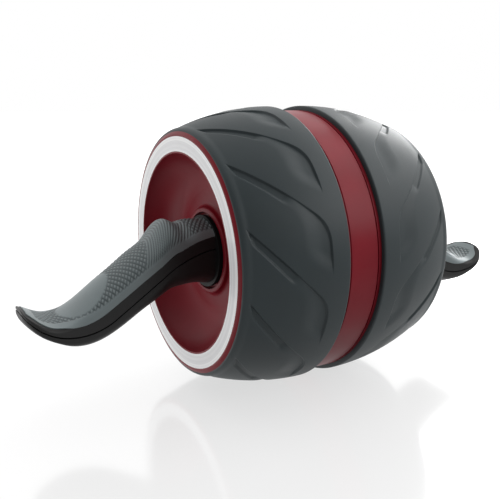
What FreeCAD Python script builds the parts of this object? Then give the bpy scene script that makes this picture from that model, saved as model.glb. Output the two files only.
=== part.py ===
"""Ab wheel roller: a wide sprung wheel that turns between two drooping grips.

The wheel turns about the Y axis, +X is the way it rolls out and +Z is up. The origin
is the middle of the axle. Right-hand pieces lie towards +Y, and left-hand pieces are
their mirror images. Lengths are in millimetres.
"""
import FreeCAD
import Part
import Sketcher
import math
import os

SIZES = {
    # wheel outline
    "wheel_radius": 92,
    "wheel_half_width": 78,
    "crown_drop": 13,
    "rim_edge_width": 3.5,
    "rim_edge_depth": 3,
    # tread
    "tread_thickness": 5,
    "tread_edge_round": 1.2,
    "groove_depth": 1.6,
    "groove_bend_radius": 24,
    # centre band
    "band_half_width": 12.5,
    "band_drop": 3,
    "band_thickness": 3,
    "band_lip_width": 2,
    "band_joint_gap": 0.5,
    # drum halves
    "drum_wall": 3,
    "rim_wall": 4,
    "dish_edge_width": 1,
    "dish_depth": 21,
    "dish_bowl_radius": 26,
    "hub_lip_height": 4,
    "hub_lip_width": 3,
    "hub_lip_round": 1.4,
    "hub_foot_round": 2.4,
    "hub_plate_thickness": 6,
    "hub_recess_gap": 2,
    "hub_sleeve_wall": 4.5,
    "hub_sleeve_length": 19,
    "clamp_rib_wall": 3.5,
    "clamp_rib_gap": 4,
    # trim rings
    "trim_width": 9.5,
    "trim_edge_width": 1,
    "trim_thickness": 0.8,
    # drum screws
    "drum_screw_radius": 2,
    "drum_screw_length": 34,
    "drum_screw_grip": 16,
    "drum_screw_head_radius": 3.3,
    "drum_screw_head_height": 3,
    "drum_post_radius": 4.6,
    # axle and bushes
    "axle_radius": 9,
    "axle_end_chamfer": 1,
    "bush_wall": 4,
    "bush_flange_width": 5,
    "bush_flange_thickness": 1.8,
    "washer_thickness": 1,
    "washer_width": 8,
    "clip_thickness": 1.2,
    "clip_groove_depth": 1,
    "clip_width": 3,
    # power spring, its cup and its arbor
    "spring_half_width": 14,
    "spring_thickness": 1,
    "spring_tab_length": 4,
    "spring_side_gap": 1,
    "arbor_wall": 8.5,
    "arbor_pin_radius": 2.5,
    "cup_post_gap": 3.1,
    "cup_wall": 7,
    "cup_plate": 2.5,
    "cup_hole_gap": 4,
    "cup_key_height": 5.5,
    "cup_key_thickness": 6,
    "cover_screw_radius": 1.5,
    "cover_screw_length": 12,
    "cover_screw_head_radius": 2.8,
    "cover_screw_head_height": 1.6,
    # handles
    "handle_length": 119,
    "handle_height": 43,
    "handle_width": 38,
    "grip_thickness": 3,
    "seam_gap": 0.9,
    "collar_radius": 23.5,
    "collar_thickness": 2.4,
    "axle_bolt_radius": 2.5,
    "axle_bolt_head_radius": 4.2,
    "axle_bolt_head_height": 4,
    "axle_bolt_seat": 13,
    "axle_bolt_reach": 13,
    "shell_screw_radius": 1.75,
    "shell_screw_head_radius": 3.4,
    "shell_screw_head_height": 2.4,
    "shell_screw_length": 16,
    # clearances
    "fit_gap": 0.05,
    "running_gap": 0.05,
    "end_gap": 0.3,
    "cut_overrun": 2,
}

GROOVES_PER_TREAD = 12
GROOVE_PHASE_DEGREES = 7
DRUM_SCREWS = 6
COVER_SCREWS = 4
SPRING_TURNS = 10
FULL_TURN = 360

HALF_SHARE = 0.5
# Drop of the tread's bed at the rim, as a share of the tread's thickness.
RIM_BED_SHARE = 1.1
# Where the dish's flat floor ends, as a share of the way from the hub's foot to the dish's edge.
DISH_FLOOR_SHARE = 0.245
# Back of the dish's edge, as a share of the drum's wall.
DISH_BACK_SHARE = 0.6
# Where the screw posts stand behind the trim ring, as a share of its width.
POST_RING_SHARE = 0.45
# How far the screw posts run into the rim's wall, as a share of it.
POST_BITE_SHARE = 0.1
# How far the axle and its bolt reach into a handle, as shares of the handle's length.
AXLE_REACH_SHARE = 0.265
AXLE_BOLT_SHARE = 0.139
# Half the opening of a retaining ring, as a share of its inner radius.
CLIP_MOUTH_SHARE = 0.5
# How far cutting slabs reach past the handle, as a share of its height.
CUT_REACH_SHARE = 2

# Groove outline: shares of the wheel's radius round the tread, of the tread's width along the axle.
GROOVE_TAIL_SHARES = (-0.364, 0.944)
GROOVE_SHOULDER_SHARES = (-0.272, 0.880)
GROOVE_INNER_BEND_SHARES = ((-0.054, 0.544), (0.152, 0.443))
GROOVE_HEEL_SHARES = (0.293, 0.442)
GROOVE_TIP_SHARES = (0.402, 0.194)
GROOVE_OUTER_BEND_SHARES = ((0.190, 0.200), (0.005, 0.325))

# Handle stations: shares of its length along it, of its height to its top and to its
# underside from the axle's line, and of its width across it. The two stations before the
# root steady the curve there and are cut off at the root.
HANDLE_STATION_SHARES = (
    (-0.160, 0.505, -0.486, 0.979),
    (-0.080, 0.505, -0.486, 0.979),
    (0.000, 0.505, -0.486, 0.979),
    (0.060, 0.512, -0.455, 0.979),
    (0.120, 0.505, -0.449, 0.984),
    (0.173, 0.484, -0.462, 0.990),
    (0.228, 0.545, -0.490, 0.995),
    (0.280, 0.455, -0.558, 1.000),
    (0.325, 0.300, -0.630, 1.000),
    (0.401, 0.155, -0.750, 1.000),
    (0.504, -0.050, -0.925, 1.000),
    (0.612, -0.262, -1.070, 1.000),
    (0.715, -0.485, -1.110, 1.030),
    (0.789, -0.608, -1.065, 1.060),
    (0.864, -0.653, -0.955, 1.100),
    (0.930, -0.588, -0.840, 1.060),
    (0.971, -0.520, -0.735, 0.880),
    (0.991, -0.485, -0.668, 0.660),
    (1.000, -0.477, -0.630, 0.440),
)
CORE_STATIONS = 14
# Crown and corners of a section, as shares of its height.
CROWN_SHARE = 0.22
CORNER_SHARE = 0.2

# Parting lines of the handle: shares of its length and height at the ends of a falling
# arc and of a rising arc, and the arcs' radii as shares of the length.
BORDER_FALL_SHARES = ((0.000, 0.300), (0.270, 0.025))
BORDER_RISE_SHARES = ((0.600, -0.585), (0.935, -0.595))
BORDER_RADIUS_SHARES = (0.576, 0.310)
SEAM_FALL_SHARES = ((0.000, 0.100), (0.310, -0.250))
SEAM_RISE_SHARES = ((0.563, -0.728), (1.000, -0.548))
SEAM_RADIUS_SHARES = (0.620, 0.330)

# Shell screws: shares of the handle's length along it and of its height to their seats.
SHELL_SCREW_SHARES = ((0.41, -0.66), (0.64, -0.95))

doc = FreeCAD.newDocument("ab_wheel_roller")


class Size:
    """A length that knows its value now and the expression that ties it to the sheet."""

    def __init__(self, value, text):
        self.value = value
        self.text = text

    def __add__(self, other):
        return Size(self.value + other.value, f"({self.text} + {other.text})")

    def __sub__(self, other):
        return Size(self.value - other.value, f"({self.text} - {other.text})")

    def __neg__(self):
        return Size(-self.value, f"(0 - {self.text})")

    def __mul__(self, factor):
        if isinstance(factor, Size):
            return Size(self.value * factor.value, f"({self.text} * {factor.text})")
        return Size(self.value * factor, f"({self.text} * {factor})")

    def __truediv__(self, other):
        return Size(self.value / other.value, f"({self.text} / {other.text})")

    def root(self):
        """The length whose square this is."""
        return Size(math.sqrt(self.value), f"sqrt({self.text})")


class Sheet:
    """The driving sizes, kept in a spreadsheet and read by their aliases."""

    def __init__(self, sizes):
        self._cells = doc.addObject("Spreadsheet::Sheet", "sizes")
        for row, (alias, value) in enumerate(sizes.items(), start=1):
            self._cells.set(f"A{row}", alias)
            self._cells.set(f"B{row}", str(value))
            self._cells.setAlias(f"B{row}", alias)
        doc.recompute()

    def __getattr__(self, alias):
        return Size(float(self._cells.get(alias)), f"sizes.{alias}")


size = Sheet(SIZES)
ZERO = Size(0.0, "0")


# Places and radii that several pieces share

tread_rim_radius = size.wheel_radius - size.crown_drop
tread_rim_place = size.wheel_half_width - size.rim_edge_depth
tread_width = tread_rim_place - size.band_half_width
crown_arc = (tread_width * tread_width + size.crown_drop * size.crown_drop) / (size.crown_drop * 2)
bed_radius = size.wheel_radius - size.tread_thickness
bed_arc = crown_arc - size.tread_thickness
bed_rim_radius = tread_rim_radius - size.tread_thickness * RIM_BED_SHARE
band_radius = size.wheel_radius - size.band_drop
band_seat_radius = band_radius - size.band_thickness
lip_place = size.band_half_width - size.band_lip_width
rim_edge_radius = tread_rim_radius - size.rim_edge_width
rim_floor_place = size.wheel_half_width - size.trim_thickness - size.rim_wall
trim_outer_radius = rim_edge_radius - size.trim_edge_width
trim_inner_radius = trim_outer_radius - size.trim_width
dish_radius = trim_inner_radius - size.dish_edge_width
dish_floor_place = size.wheel_half_width - size.dish_depth
drum_screw_circle = trim_inner_radius + size.trim_width * POST_RING_SHARE

bush_bore = size.axle_radius + size.running_gap
bush_radius = bush_bore + size.bush_wall
bush_flange_radius = bush_radius + size.bush_flange_width
bush_inner_place = dish_floor_place - size.hub_sleeve_length
flange_place = dish_floor_place + size.bush_flange_thickness
washer_place = flange_place + size.end_gap
collar_place = washer_place + size.washer_thickness
handle_root_place = collar_place + size.collar_thickness
axle_half_length = handle_root_place + size.handle_length * AXLE_REACH_SHARE
axle_bolt_place = handle_root_place + size.handle_length * AXLE_BOLT_SHARE
recess_radius = size.collar_radius + size.hub_recess_gap
hub_sleeve_radius = bush_radius + size.fit_gap + size.hub_sleeve_wall
hub_lip_radius = recess_radius + size.hub_lip_width
hub_foot_radius = hub_lip_radius + size.hub_foot_round
dish_floor_radius = hub_foot_radius + (dish_radius - hub_foot_radius) * DISH_FLOOR_SHARE

arbor_radius = size.axle_radius + size.fit_gap + size.arbor_wall
cup_outer_radius = drum_screw_circle - size.drum_post_radius - size.cup_post_gap
cup_inner_radius = cup_outer_radius - size.cup_wall
spring_inner_radius = arbor_radius + size.spring_thickness
spring_outer_radius = cup_inner_radius - size.spring_thickness * 2
spring_pitch = (spring_outer_radius - spring_inner_radius) * (1 / SPRING_TURNS)
cup_hole_radius = arbor_radius + size.cup_hole_gap
cavity_half_width = size.spring_half_width + size.spring_side_gap
cup_half_width = cavity_half_width + size.cup_plate
cover_screw_circle = cup_inner_radius + size.cup_wall * HALF_SHARE
first_cover_screw = HALF_SHARE / COVER_SCREWS


# Drawing helpers

def round_place(circle, turn_share):
    """The point of a circle round the axle at a share of a turn."""
    angle = turn_share * 2 * math.pi
    return circle * round(math.cos(angle), 9), circle * round(math.sin(angle), 9)


def new_body(label):
    """An empty body with its label."""
    body = doc.addObject("PartDesign::Body", label)
    body.Label = label
    return body


def new_sketch(body, role, name, offset=None):
    """A sketch on one of the body's own origin planes, moved along its normal by offset."""
    sketch = body.newObject("Sketcher::SketchObject", name)
    plane = next(item for item in body.Origin.OriginFeatures if item.Role == role)
    sketch.AttachmentSupport = (plane, [""])
    sketch.MapMode = "FlatFace"
    if offset is not None:
        sketch.setExpression("AttachmentOffset.Base.z", offset.text)
    return sketch


def bind(sketch, index, length):
    """Ties one constraint of a sketch to the sheet."""
    if length.value != 0:
        sketch.setExpression(f"Constraints[{index}]", length.text)


def arc_between(start, end, radius):
    """A circular arc from start to end: a positive radius turns left, a negative one right."""
    chord = end - start
    side = math.copysign(1.0, radius)
    rise = math.sqrt(max(radius * radius - chord.Length ** 2 / 4, 0.0))
    left = FreeCAD.Vector(-chord.y, chord.x, 0) / chord.Length
    centre = (start + end) * 0.5 + left * (rise * side)
    first, last = (start, end) if side > 0 else (end, start)
    angles = [math.atan2(point.y - centre.y, point.x - centre.x) for point in (first, last)]
    circle = Part.Circle(centre, FreeCAD.Vector(0, 0, 1), abs(radius))
    return Part.ArcOfCircle(circle, angles[0], angles[1])


def outline(sketch, corners, arcs=None):
    """Draws a closed outline whose corners are tied to the sheet.

    arcs gives, by the number of the corner where an arc starts, its radius and whether
    it turns to the left (1) or to the right (-1).
    """
    arcs = arcs or {}
    points = [FreeCAD.Vector(across.value, along.value, 0) for across, along in corners]
    count = len(points)
    edges = []
    ends = []
    for index, start in enumerate(points):
        end = points[(index + 1) % count]
        if index in arcs:
            radius, turn = arcs[index]
            edges.append(arc_between(start, end, radius.value * turn))
            ends.append((1, 2) if turn > 0 else (2, 1))
        else:
            edges.append(Part.LineSegment(start, end))
            ends.append((1, 2))
    base = len(sketch.Geometry)
    sketch.addGeometry(edges)
    for index in range(count):
        after = (index + 1) % count
        sketch.addConstraint(Sketcher.Constraint(
            "Coincident", base + index, ends[index][1], base + after, ends[after][0]))
    for index, (across, along) in enumerate(corners):
        for kind, length in (("DistanceX", across), ("DistanceY", along)):
            place = sketch.addConstraint(Sketcher.Constraint(
                kind, -1, 1, base + index, ends[index][0], length.value))
            bind(sketch, place, length)
    for index, (radius, _) in arcs.items():
        place = sketch.addConstraint(Sketcher.Constraint("Radius", base + index, radius.value))
        bind(sketch, place, radius)


def ring(sketch, radius, across=ZERO, along=ZERO):
    """Draws a circle whose radius and centre are tied to the sheet."""
    centre = FreeCAD.Vector(across.value, along.value, 0)
    circle = Part.Circle(centre, FreeCAD.Vector(0, 0, 1), radius.value)
    index = sketch.addGeometry(circle)
    place = sketch.addConstraint(Sketcher.Constraint("Radius", index, radius.value))
    bind(sketch, place, radius)
    for kind, length in (("DistanceX", across), ("DistanceY", along)):
        place = sketch.addConstraint(Sketcher.Constraint(kind, -1, 1, index, 3, length.value))
        bind(sketch, place, length)


def revolve(body, sketch, name, kind="PartDesign::Revolution"):
    """Turns a sketch drawn as (radius, place along the axle) about the axle."""
    feature = body.newObject(kind, name)
    feature.Profile = sketch
    feature.ReferenceAxis = (sketch, ["V_Axis"])
    feature.Angle = FULL_TURN
    return feature


def extrude(body, sketch, name, length, kind="PartDesign::Pad", reverse=False, both_ways=False):
    """Pads or pockets a sketch by a length tied to the sheet."""
    feature = body.newObject(kind, name)
    feature.Profile = sketch
    feature.setExpression("Length", length.text)
    if both_ways:
        feature.SideType = "Symmetric"
    feature.Reversed = reverse
    return feature


def repeat_round(body, features, name, count):
    """Repeats features round the axle."""
    pattern = body.newObject("PartDesign::PolarPattern", name)
    pattern.Originals = features
    axis = next(item for item in body.Origin.OriginFeatures if item.Role == "Y_Axis")
    pattern.Axis = (axis, [""])
    pattern.Angle = FULL_TURN
    pattern.Occurrences = count
    body.Tip = pattern
    return pattern


def boolean(kind, name, base, tool):
    """A cut, fuse or common of two document objects."""
    feature = doc.addObject(f"Part::{kind}", name)
    feature.Base = base
    feature.Tool = tool
    return feature


def rod(name, radius, length, across, along, up):
    """A round bar that stands on the point (across, along, up) and points along +Z."""
    bar = doc.addObject("Part::Cylinder", name)
    bar.setExpression("Radius", radius.text)
    bar.setExpression("Height", length.text)
    for axis, value in (("x", across), ("y", along), ("z", up)):
        bar.setExpression(f"Placement.Base.{axis}", value.text)
    return bar


def joined(name, pieces):
    """Several document objects as one."""
    fuse = doc.addObject("Part::MultiFuse", name)
    fuse.Shapes = pieces
    return fuse


def mirrored(source, label):
    """The left-hand twin of a right-hand piece."""
    twin = doc.addObject("Part::Mirroring", label)
    twin.Source = source
    twin.Normal = FreeCAD.Vector(0, 1, 0)
    twin.Label = label
    return twin


# Wheel shell

def make_drum_half(label):
    """One half of the moulded drum: tread bed, rim, dish, hub and screw posts."""
    body = new_body(label)
    lip_place_out = dish_floor_place + size.hub_lip_height
    plate_place = dish_floor_place - size.hub_plate_thickness
    floor_back = dish_floor_place - size.drum_wall
    rib_inner = hub_sleeve_radius + size.clamp_rib_gap
    rib_outer = rib_inner + size.clamp_rib_wall
    bore = bush_radius + size.fit_gap
    inner_wall_radius = band_seat_radius - size.drum_wall
    corners = [
        (band_seat_radius, ZERO),
        (band_seat_radius, lip_place),
        (band_radius, lip_place),
        (band_radius, size.band_half_width),
        (bed_radius, size.band_half_width),
        (bed_rim_radius, tread_rim_place),
        (tread_rim_radius, tread_rim_place),
        (rim_edge_radius, size.wheel_half_width),
        (trim_outer_radius, size.wheel_half_width),
        (trim_outer_radius, size.wheel_half_width - size.trim_thickness),
        (trim_inner_radius, size.wheel_half_width - size.trim_thickness),
        (trim_inner_radius, size.wheel_half_width),
        (dish_radius, size.wheel_half_width),
        (dish_floor_radius, dish_floor_place),
        (hub_foot_radius, dish_floor_place),
        (hub_lip_radius, dish_floor_place + size.hub_foot_round),
        (hub_lip_radius, lip_place_out - size.hub_lip_round),
        (hub_lip_radius - size.hub_lip_round, lip_place_out),
        (recess_radius, lip_place_out),
        (recess_radius, dish_floor_place),
        (bore, dish_floor_place),
        (bore, bush_inner_place),
        (hub_sleeve_radius, bush_inner_place),
        (hub_sleeve_radius, plate_place),
        (rib_inner, plate_place),
        (rib_inner, cup_half_width),
        (rib_outer, cup_half_width),
        (rib_outer, floor_back),
        (dish_floor_radius, floor_back),
        (dish_radius + size.drum_wall * DISH_BACK_SHARE, rim_floor_place),
        (bed_rim_radius - size.drum_wall, rim_floor_place),
        (inner_wall_radius, size.band_half_width),
        (inner_wall_radius, ZERO),
    ]
    arcs = {
        4: (bed_arc, 1),
        6: (size.wheel_half_width - tread_rim_place + tread_rim_radius
            - rim_edge_radius, 1),
        12: (size.dish_bowl_radius, -1),
        14: (size.hub_foot_round, -1),
        16: (size.hub_lip_round, 1),
        28: (size.dish_bowl_radius + size.drum_wall, 1),
        30: (bed_arc - size.drum_wall, -1),
    }
    profile = new_sketch(body, "XY_Plane", f"{label}_profile")
    outline(profile, corners, arcs)
    revolve(body, profile, f"{label}_shell")
    post = new_sketch(body, "XZ_Plane", f"{label}_post_outline")
    ring(post, size.drum_post_radius, drum_screw_circle)
    post_length = rim_floor_place + size.rim_wall * POST_BITE_SHARE
    posts = extrude(body, post, f"{label}_post", post_length, reverse=True)
    repeat_round(body, [posts], f"{label}_posts", DRUM_SCREWS)
    return body


def drill(body, name, radius, start, depth):
    """Holes for the drum screws, cut outwards from a place along the axle."""
    sketch = new_sketch(body, "XZ_Plane", f"{name}_outline", -start)
    ring(sketch, radius, drum_screw_circle)
    hole = extrude(body, sketch, name, depth, "PartDesign::Pocket")
    repeat_round(body, [hole], f"{name}_ring", DRUM_SCREWS)


def make_drum():
    """Both drum halves: the left one takes the screws' heads, the right one their points."""
    right = make_drum_half("right_drum_half")
    grip_end = size.drum_screw_length - size.drum_screw_grip
    drill(right, "right_pilot", size.drum_screw_radius + size.fit_gap, ZERO, grip_end + size.cut_overrun)
    left = make_drum_half("left_drum_half")
    seat = size.drum_screw_grip
    drill(left, "left_clearance", size.drum_screw_radius + size.fit_gap, ZERO, seat + size.cut_overrun)
    drill(left, "left_counterbore", size.drum_screw_head_radius + size.end_gap, seat,
          size.wheel_half_width - seat + size.cut_overrun)
    left.Placement = FreeCAD.Placement(
        FreeCAD.Vector(), FreeCAD.Rotation(FreeCAD.Vector(0, 0, 1), FULL_TURN / 2))
    return [right, left]


def make_screw_ring(label, circle, turn_share, count, head_place, length, reach):
    """Like screws round the axle, whose heads lie beyond head_place on the side of reach (1 or -1).

    circle is the radius that they stand on, and turn_share the first one's share of a turn.
    """
    radius, head_radius, head_height = reach[1:]
    towards_head = reach[0]
    body = new_body(label)
    body.AllowCompound = True
    across, up = round_place(circle, turn_share)
    shank = new_sketch(body, "XZ_Plane", f"{label}_shank_outline", -head_place)
    ring(shank, radius, across, up)
    shank_pad = extrude(body, shank, f"{label}_shank", length, reverse=towards_head < 0)
    head = new_sketch(body, "XZ_Plane", f"{label}_head_outline", -head_place)
    ring(head, head_radius, across, up)
    head_pad = extrude(body, head, f"{label}_head", head_height, reverse=towards_head > 0)
    repeat_round(body, [shank_pad, head_pad], f"{label}_ring", count)
    return body


def make_drum_screws():
    """The long screws that pull the two drum halves together, with their heads on the left."""
    kind = (-1, size.drum_screw_radius, size.drum_screw_head_radius, size.drum_screw_head_height)
    return make_screw_ring("drum_screws", drum_screw_circle, 0, DRUM_SCREWS,
                           -size.drum_screw_grip, size.drum_screw_length, kind)


def make_cover_screws():
    """The short screws that hold the lid on the spring cup."""
    kind = (1, size.cover_screw_radius, size.cover_screw_head_radius, size.cover_screw_head_height)
    return make_screw_ring("cover_screws", cover_screw_circle, first_cover_screw, COVER_SCREWS,
                           cup_half_width, size.cover_screw_length, kind)


def make_centre_band():
    """The hoop that covers the joint of the drum halves."""
    body = new_body("centre_band")
    half = lip_place - size.band_joint_gap
    inner = band_seat_radius + size.fit_gap
    round_off = size.band_joint_gap
    profile = new_sketch(body, "XY_Plane", "centre_band_profile")
    outline(profile, [
        (inner, -half),
        (band_radius - round_off, -half),
        (band_radius, round_off - half),
        (band_radius, half - round_off),
        (band_radius - round_off, half),
        (inner, half),
    ], {1: (round_off, 1), 3: (round_off, 1)})
    revolve(body, profile, "centre_band_hoop")
    return body


def groove_point(shares):
    """A corner of the groove's outline from its shares."""
    round_share, along_share = shares
    return (size.wheel_radius * round_share, size.band_half_width + tread_width * along_share)


def make_right_tread():
    """The rubber tread: a grooved crown over a plain base, both turned about the axle."""
    body = new_body("right_tread")
    inner_place = size.band_half_width + size.fit_gap
    outer_place = tread_rim_place - size.fit_gap
    floor_radius = size.wheel_radius - size.groove_depth
    floor_rim_radius = tread_rim_radius - size.groove_depth
    crown = new_sketch(body, "XY_Plane", "tread_crown_profile")
    outline(crown, [
        (floor_radius, inner_place),
        (size.wheel_radius - size.tread_edge_round, inner_place),
        (size.wheel_radius, inner_place + size.tread_edge_round),
        (tread_rim_radius, outer_place),
        (floor_rim_radius, outer_place),
    ], {
        1: (size.tread_edge_round, 1),
        2: (crown_arc, 1),
        4: (crown_arc, -1),
    })
    revolve(body, crown, "tread_crown")
    groove = new_sketch(body, "XY_Plane", "tread_groove_outline")
    inner_bend = [groove_point(shares) for shares in GROOVE_INNER_BEND_SHARES]
    outer_bend = [groove_point(shares) for shares in GROOVE_OUTER_BEND_SHARES]
    outline(groove, [
        groove_point(GROOVE_TAIL_SHARES),
        groove_point(GROOVE_SHOULDER_SHARES),
        inner_bend[0],
        inner_bend[1],
        groove_point(GROOVE_HEEL_SHARES),
        groove_point(GROOVE_TIP_SHARES),
        outer_bend[0],
        outer_bend[1],
    ], {2: (size.groove_bend_radius, 1), 6: (size.groove_bend_radius, -1)})
    cut = extrude(body, groove, "tread_groove", size.wheel_radius + size.cut_overrun,
                  "PartDesign::Pocket", reverse=True)
    repeat_round(body, [cut], "tread_grooves", GROOVES_PER_TREAD)
    base = new_sketch(body, "XY_Plane", "tread_base_profile")
    outline(base, [
        (bed_radius + size.fit_gap, inner_place),
        (floor_radius, inner_place),
        (floor_rim_radius, outer_place),
        (bed_rim_radius + size.fit_gap, outer_place),
    ], {1: (crown_arc, 1), 3: (bed_arc, -1)})
    body.Tip = revolve(body, base, "tread_base")
    body.Placement = FreeCAD.Placement(
        FreeCAD.Vector(), FreeCAD.Rotation(FreeCAD.Vector(0, 1, 0), GROOVE_PHASE_DEGREES))
    return body


def make_right_trim_ring():
    """The bright ring let into the rim's end face."""
    body = new_body("right_trim_ring")
    sketch = new_sketch(body, "XZ_Plane", "trim_ring_outline",
                        size.trim_thickness - size.wheel_half_width)
    ring(sketch, trim_outer_radius - size.fit_gap)
    ring(sketch, trim_inner_radius + size.fit_gap)
    extrude(body, sketch, "trim_ring", size.trim_thickness, reverse=True)
    return body


# Axle and bearings

def make_axle():
    """The steel axle with its cross holes and clip grooves."""
    body = new_body("axle")
    profile = new_sketch(body, "XY_Plane", "axle_profile")
    end = axle_half_length
    chamfer = size.axle_end_chamfer
    outline(profile, [
        (ZERO, -end),
        (size.axle_radius - chamfer, -end),
        (size.axle_radius, chamfer - end),
        (size.axle_radius, end - chamfer),
        (size.axle_radius - chamfer, end),
        (ZERO, end),
    ])
    revolve(body, profile, "axle_bar")
    clip_end = bush_inner_place - size.end_gap
    clip_start = clip_end - size.clip_thickness
    grooves = new_sketch(body, "XY_Plane", "clip_groove_profile")
    for side in (1, -1):
        outline(grooves, [
            (size.axle_radius - size.clip_groove_depth, clip_start * side),
            (size.axle_radius + size.cut_overrun, clip_start * side),
            (size.axle_radius + size.cut_overrun, clip_end * side),
            (size.axle_radius - size.clip_groove_depth, clip_end * side),
        ])
    revolve(body, grooves, "clip_grooves", "PartDesign::Groove")
    holes = new_sketch(body, "XY_Plane", "cross_hole_outline")
    ring(holes, size.arbor_pin_radius + size.fit_gap)
    for side in (1, -1):
        ring(holes, size.axle_bolt_radius + size.fit_gap, ZERO, axle_bolt_place * side)
    body.Tip = extrude(body, holes, "cross_holes", (size.axle_radius + size.cut_overrun) * 2,
                       "PartDesign::Pocket", both_ways=True)
    return body


def make_right_bush():
    """The flanged plain bush that the wheel turns on."""
    body = new_body("right_hub_bush")
    profile = new_sketch(body, "XY_Plane", "bush_profile")
    outline(profile, [
        (bush_bore, bush_inner_place),
        (bush_radius, bush_inner_place),
        (bush_radius, dish_floor_place),
        (bush_flange_radius, dish_floor_place),
        (bush_flange_radius, flange_place),
        (bush_bore, flange_place),
    ])
    revolve(body, profile, "bush")
    return body


def make_right_washer():
    """The thrust washer between the bush and the handle."""
    body = new_body("right_thrust_washer")
    sketch = new_sketch(body, "XZ_Plane", "washer_outline", -washer_place)
    ring(sketch, size.axle_radius + size.fit_gap)
    ring(sketch, size.axle_radius + size.washer_width)
    extrude(body, sketch, "washer", size.washer_thickness, reverse=True)
    return body


def make_right_clip():
    """The open retaining ring that sits in the axle's groove."""
    body = new_body("right_retaining_ring")
    start = bush_inner_place - size.end_gap - size.clip_thickness
    inner = size.axle_radius - size.clip_groove_depth + size.fit_gap
    sketch = new_sketch(body, "XZ_Plane", "clip_outline", -(start + size.fit_gap))
    ring(sketch, inner)
    ring(sketch, inner + size.clip_width)
    extrude(body, sketch, "clip_ring", size.clip_thickness - size.fit_gap * 2, reverse=True)
    mouth = new_sketch(body, "XY_Plane", "clip_mouth_outline")
    half = inner * CLIP_MOUTH_SHARE
    outline(mouth, [
        (-half, start - size.cut_overrun),
        (half, start - size.cut_overrun),
        (half, bush_inner_place),
        (-half, bush_inner_place),
    ])
    body.Tip = extrude(body, mouth, "clip_mouth", inner + size.clip_width + size.cut_overrun,
                       "PartDesign::Pocket", reverse=True)
    return body


# Power spring

def make_arbor():
    """The sleeve that ties the spring's inner end to the axle."""
    body = new_body("spring_arbor")
    sketch = new_sketch(body, "XZ_Plane", "arbor_outline")
    ring(sketch, arbor_radius)
    ring(sketch, size.axle_radius + size.fit_gap)
    extrude(body, sketch, "arbor_sleeve", size.spring_half_width * 2, both_ways=True)
    slot_half = size.spring_thickness * HALF_SHARE + size.fit_gap
    slot = new_sketch(body, "XZ_Plane", "arbor_slot_outline")
    slot_floor = spring_inner_radius - size.spring_tab_length - size.fit_gap
    outline(slot, [
        (slot_floor, -slot_half),
        (arbor_radius + size.cut_overrun, -slot_half),
        (arbor_radius + size.cut_overrun, slot_half),
        (slot_floor, slot_half),
    ])
    extrude(body, slot, "arbor_slot", (size.spring_half_width + size.cut_overrun) * 2,
            "PartDesign::Pocket", both_ways=True)
    hole = new_sketch(body, "XY_Plane", "arbor_pin_hole_outline")
    ring(hole, size.arbor_pin_radius + size.fit_gap)
    body.Tip = extrude(body, hole, "arbor_pin_hole", (arbor_radius + size.cut_overrun) * 2,
                       "PartDesign::Pocket", both_ways=True)
    return body


def make_arbor_pin():
    """The cross pin through arbor and axle."""
    reach = arbor_radius - size.axle_end_chamfer
    pin = rod("arbor_pin", size.arbor_pin_radius, reach * 2, ZERO, ZERO, -reach)
    pin.Label = "arbor_pin"
    return pin


def make_spring():
    """The flat spiral spring: half turns about two centres, with a tab at each end."""
    thickness = size.spring_thickness.value
    pitch = spring_pitch.value
    width = size.spring_half_width.value * 2
    tab = size.spring_tab_length.value
    start_radius = spring_inner_radius.value + thickness / 2
    inner_points = []
    outer_points = []
    for half_turn in range(2 * SPRING_TURNS):
        radius = start_radius + half_turn * pitch / 2
        centre = 0.0 if half_turn % 2 == 0 else pitch / 2
        side = 1.0 if half_turn % 2 == 0 else -1.0
        for offset, edges in ((-thickness / 2, inner_points), (thickness / 2, outer_points)):
            reach = radius + offset
            first = FreeCAD.Vector(centre + side * reach, 0, 0)
            middle = FreeCAD.Vector(centre, 0, side * reach)
            last = FreeCAD.Vector(centre - side * reach, 0, 0)
            edges.append(Part.Arc(first, middle, last).toShape())
    inner_wire = Part.Wire(inner_points)
    outer_wire = Part.Wire(outer_points)
    first_ends = [wire.OrderedVertexes[0].Point for wire in (inner_wire, outer_wire)]
    last_ends = [wire.OrderedVertexes[-1].Point for wire in (inner_wire, outer_wire)]
    closing = [Part.LineSegment(*ends).toShape() for ends in (first_ends, last_ends)]
    strip = Part.Face(Part.Wire(Part.__sortEdges__(inner_points + outer_points + closing)))
    depth = FreeCAD.Vector(0, width, 0)
    coil = strip.extrude(depth)
    inner_tab = Part.makeBox(tab + thickness, width, thickness, FreeCAD.Vector(
        first_ends[1].x - tab - thickness, 0, -thickness / 2))
    outer_tab = Part.makeBox(tab, width, thickness, FreeCAD.Vector(
        last_ends[0].x, 0, -thickness / 2))
    spring = doc.addObject("Part::Feature", "power_spring")
    spring.Shape = coil.fuse([inner_tab, outer_tab]).removeSplitter()
    spring.Label = "power_spring"
    spring.Placement = FreeCAD.Placement(FreeCAD.Vector(0, -width / 2, 0), FreeCAD.Rotation())
    return spring


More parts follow.
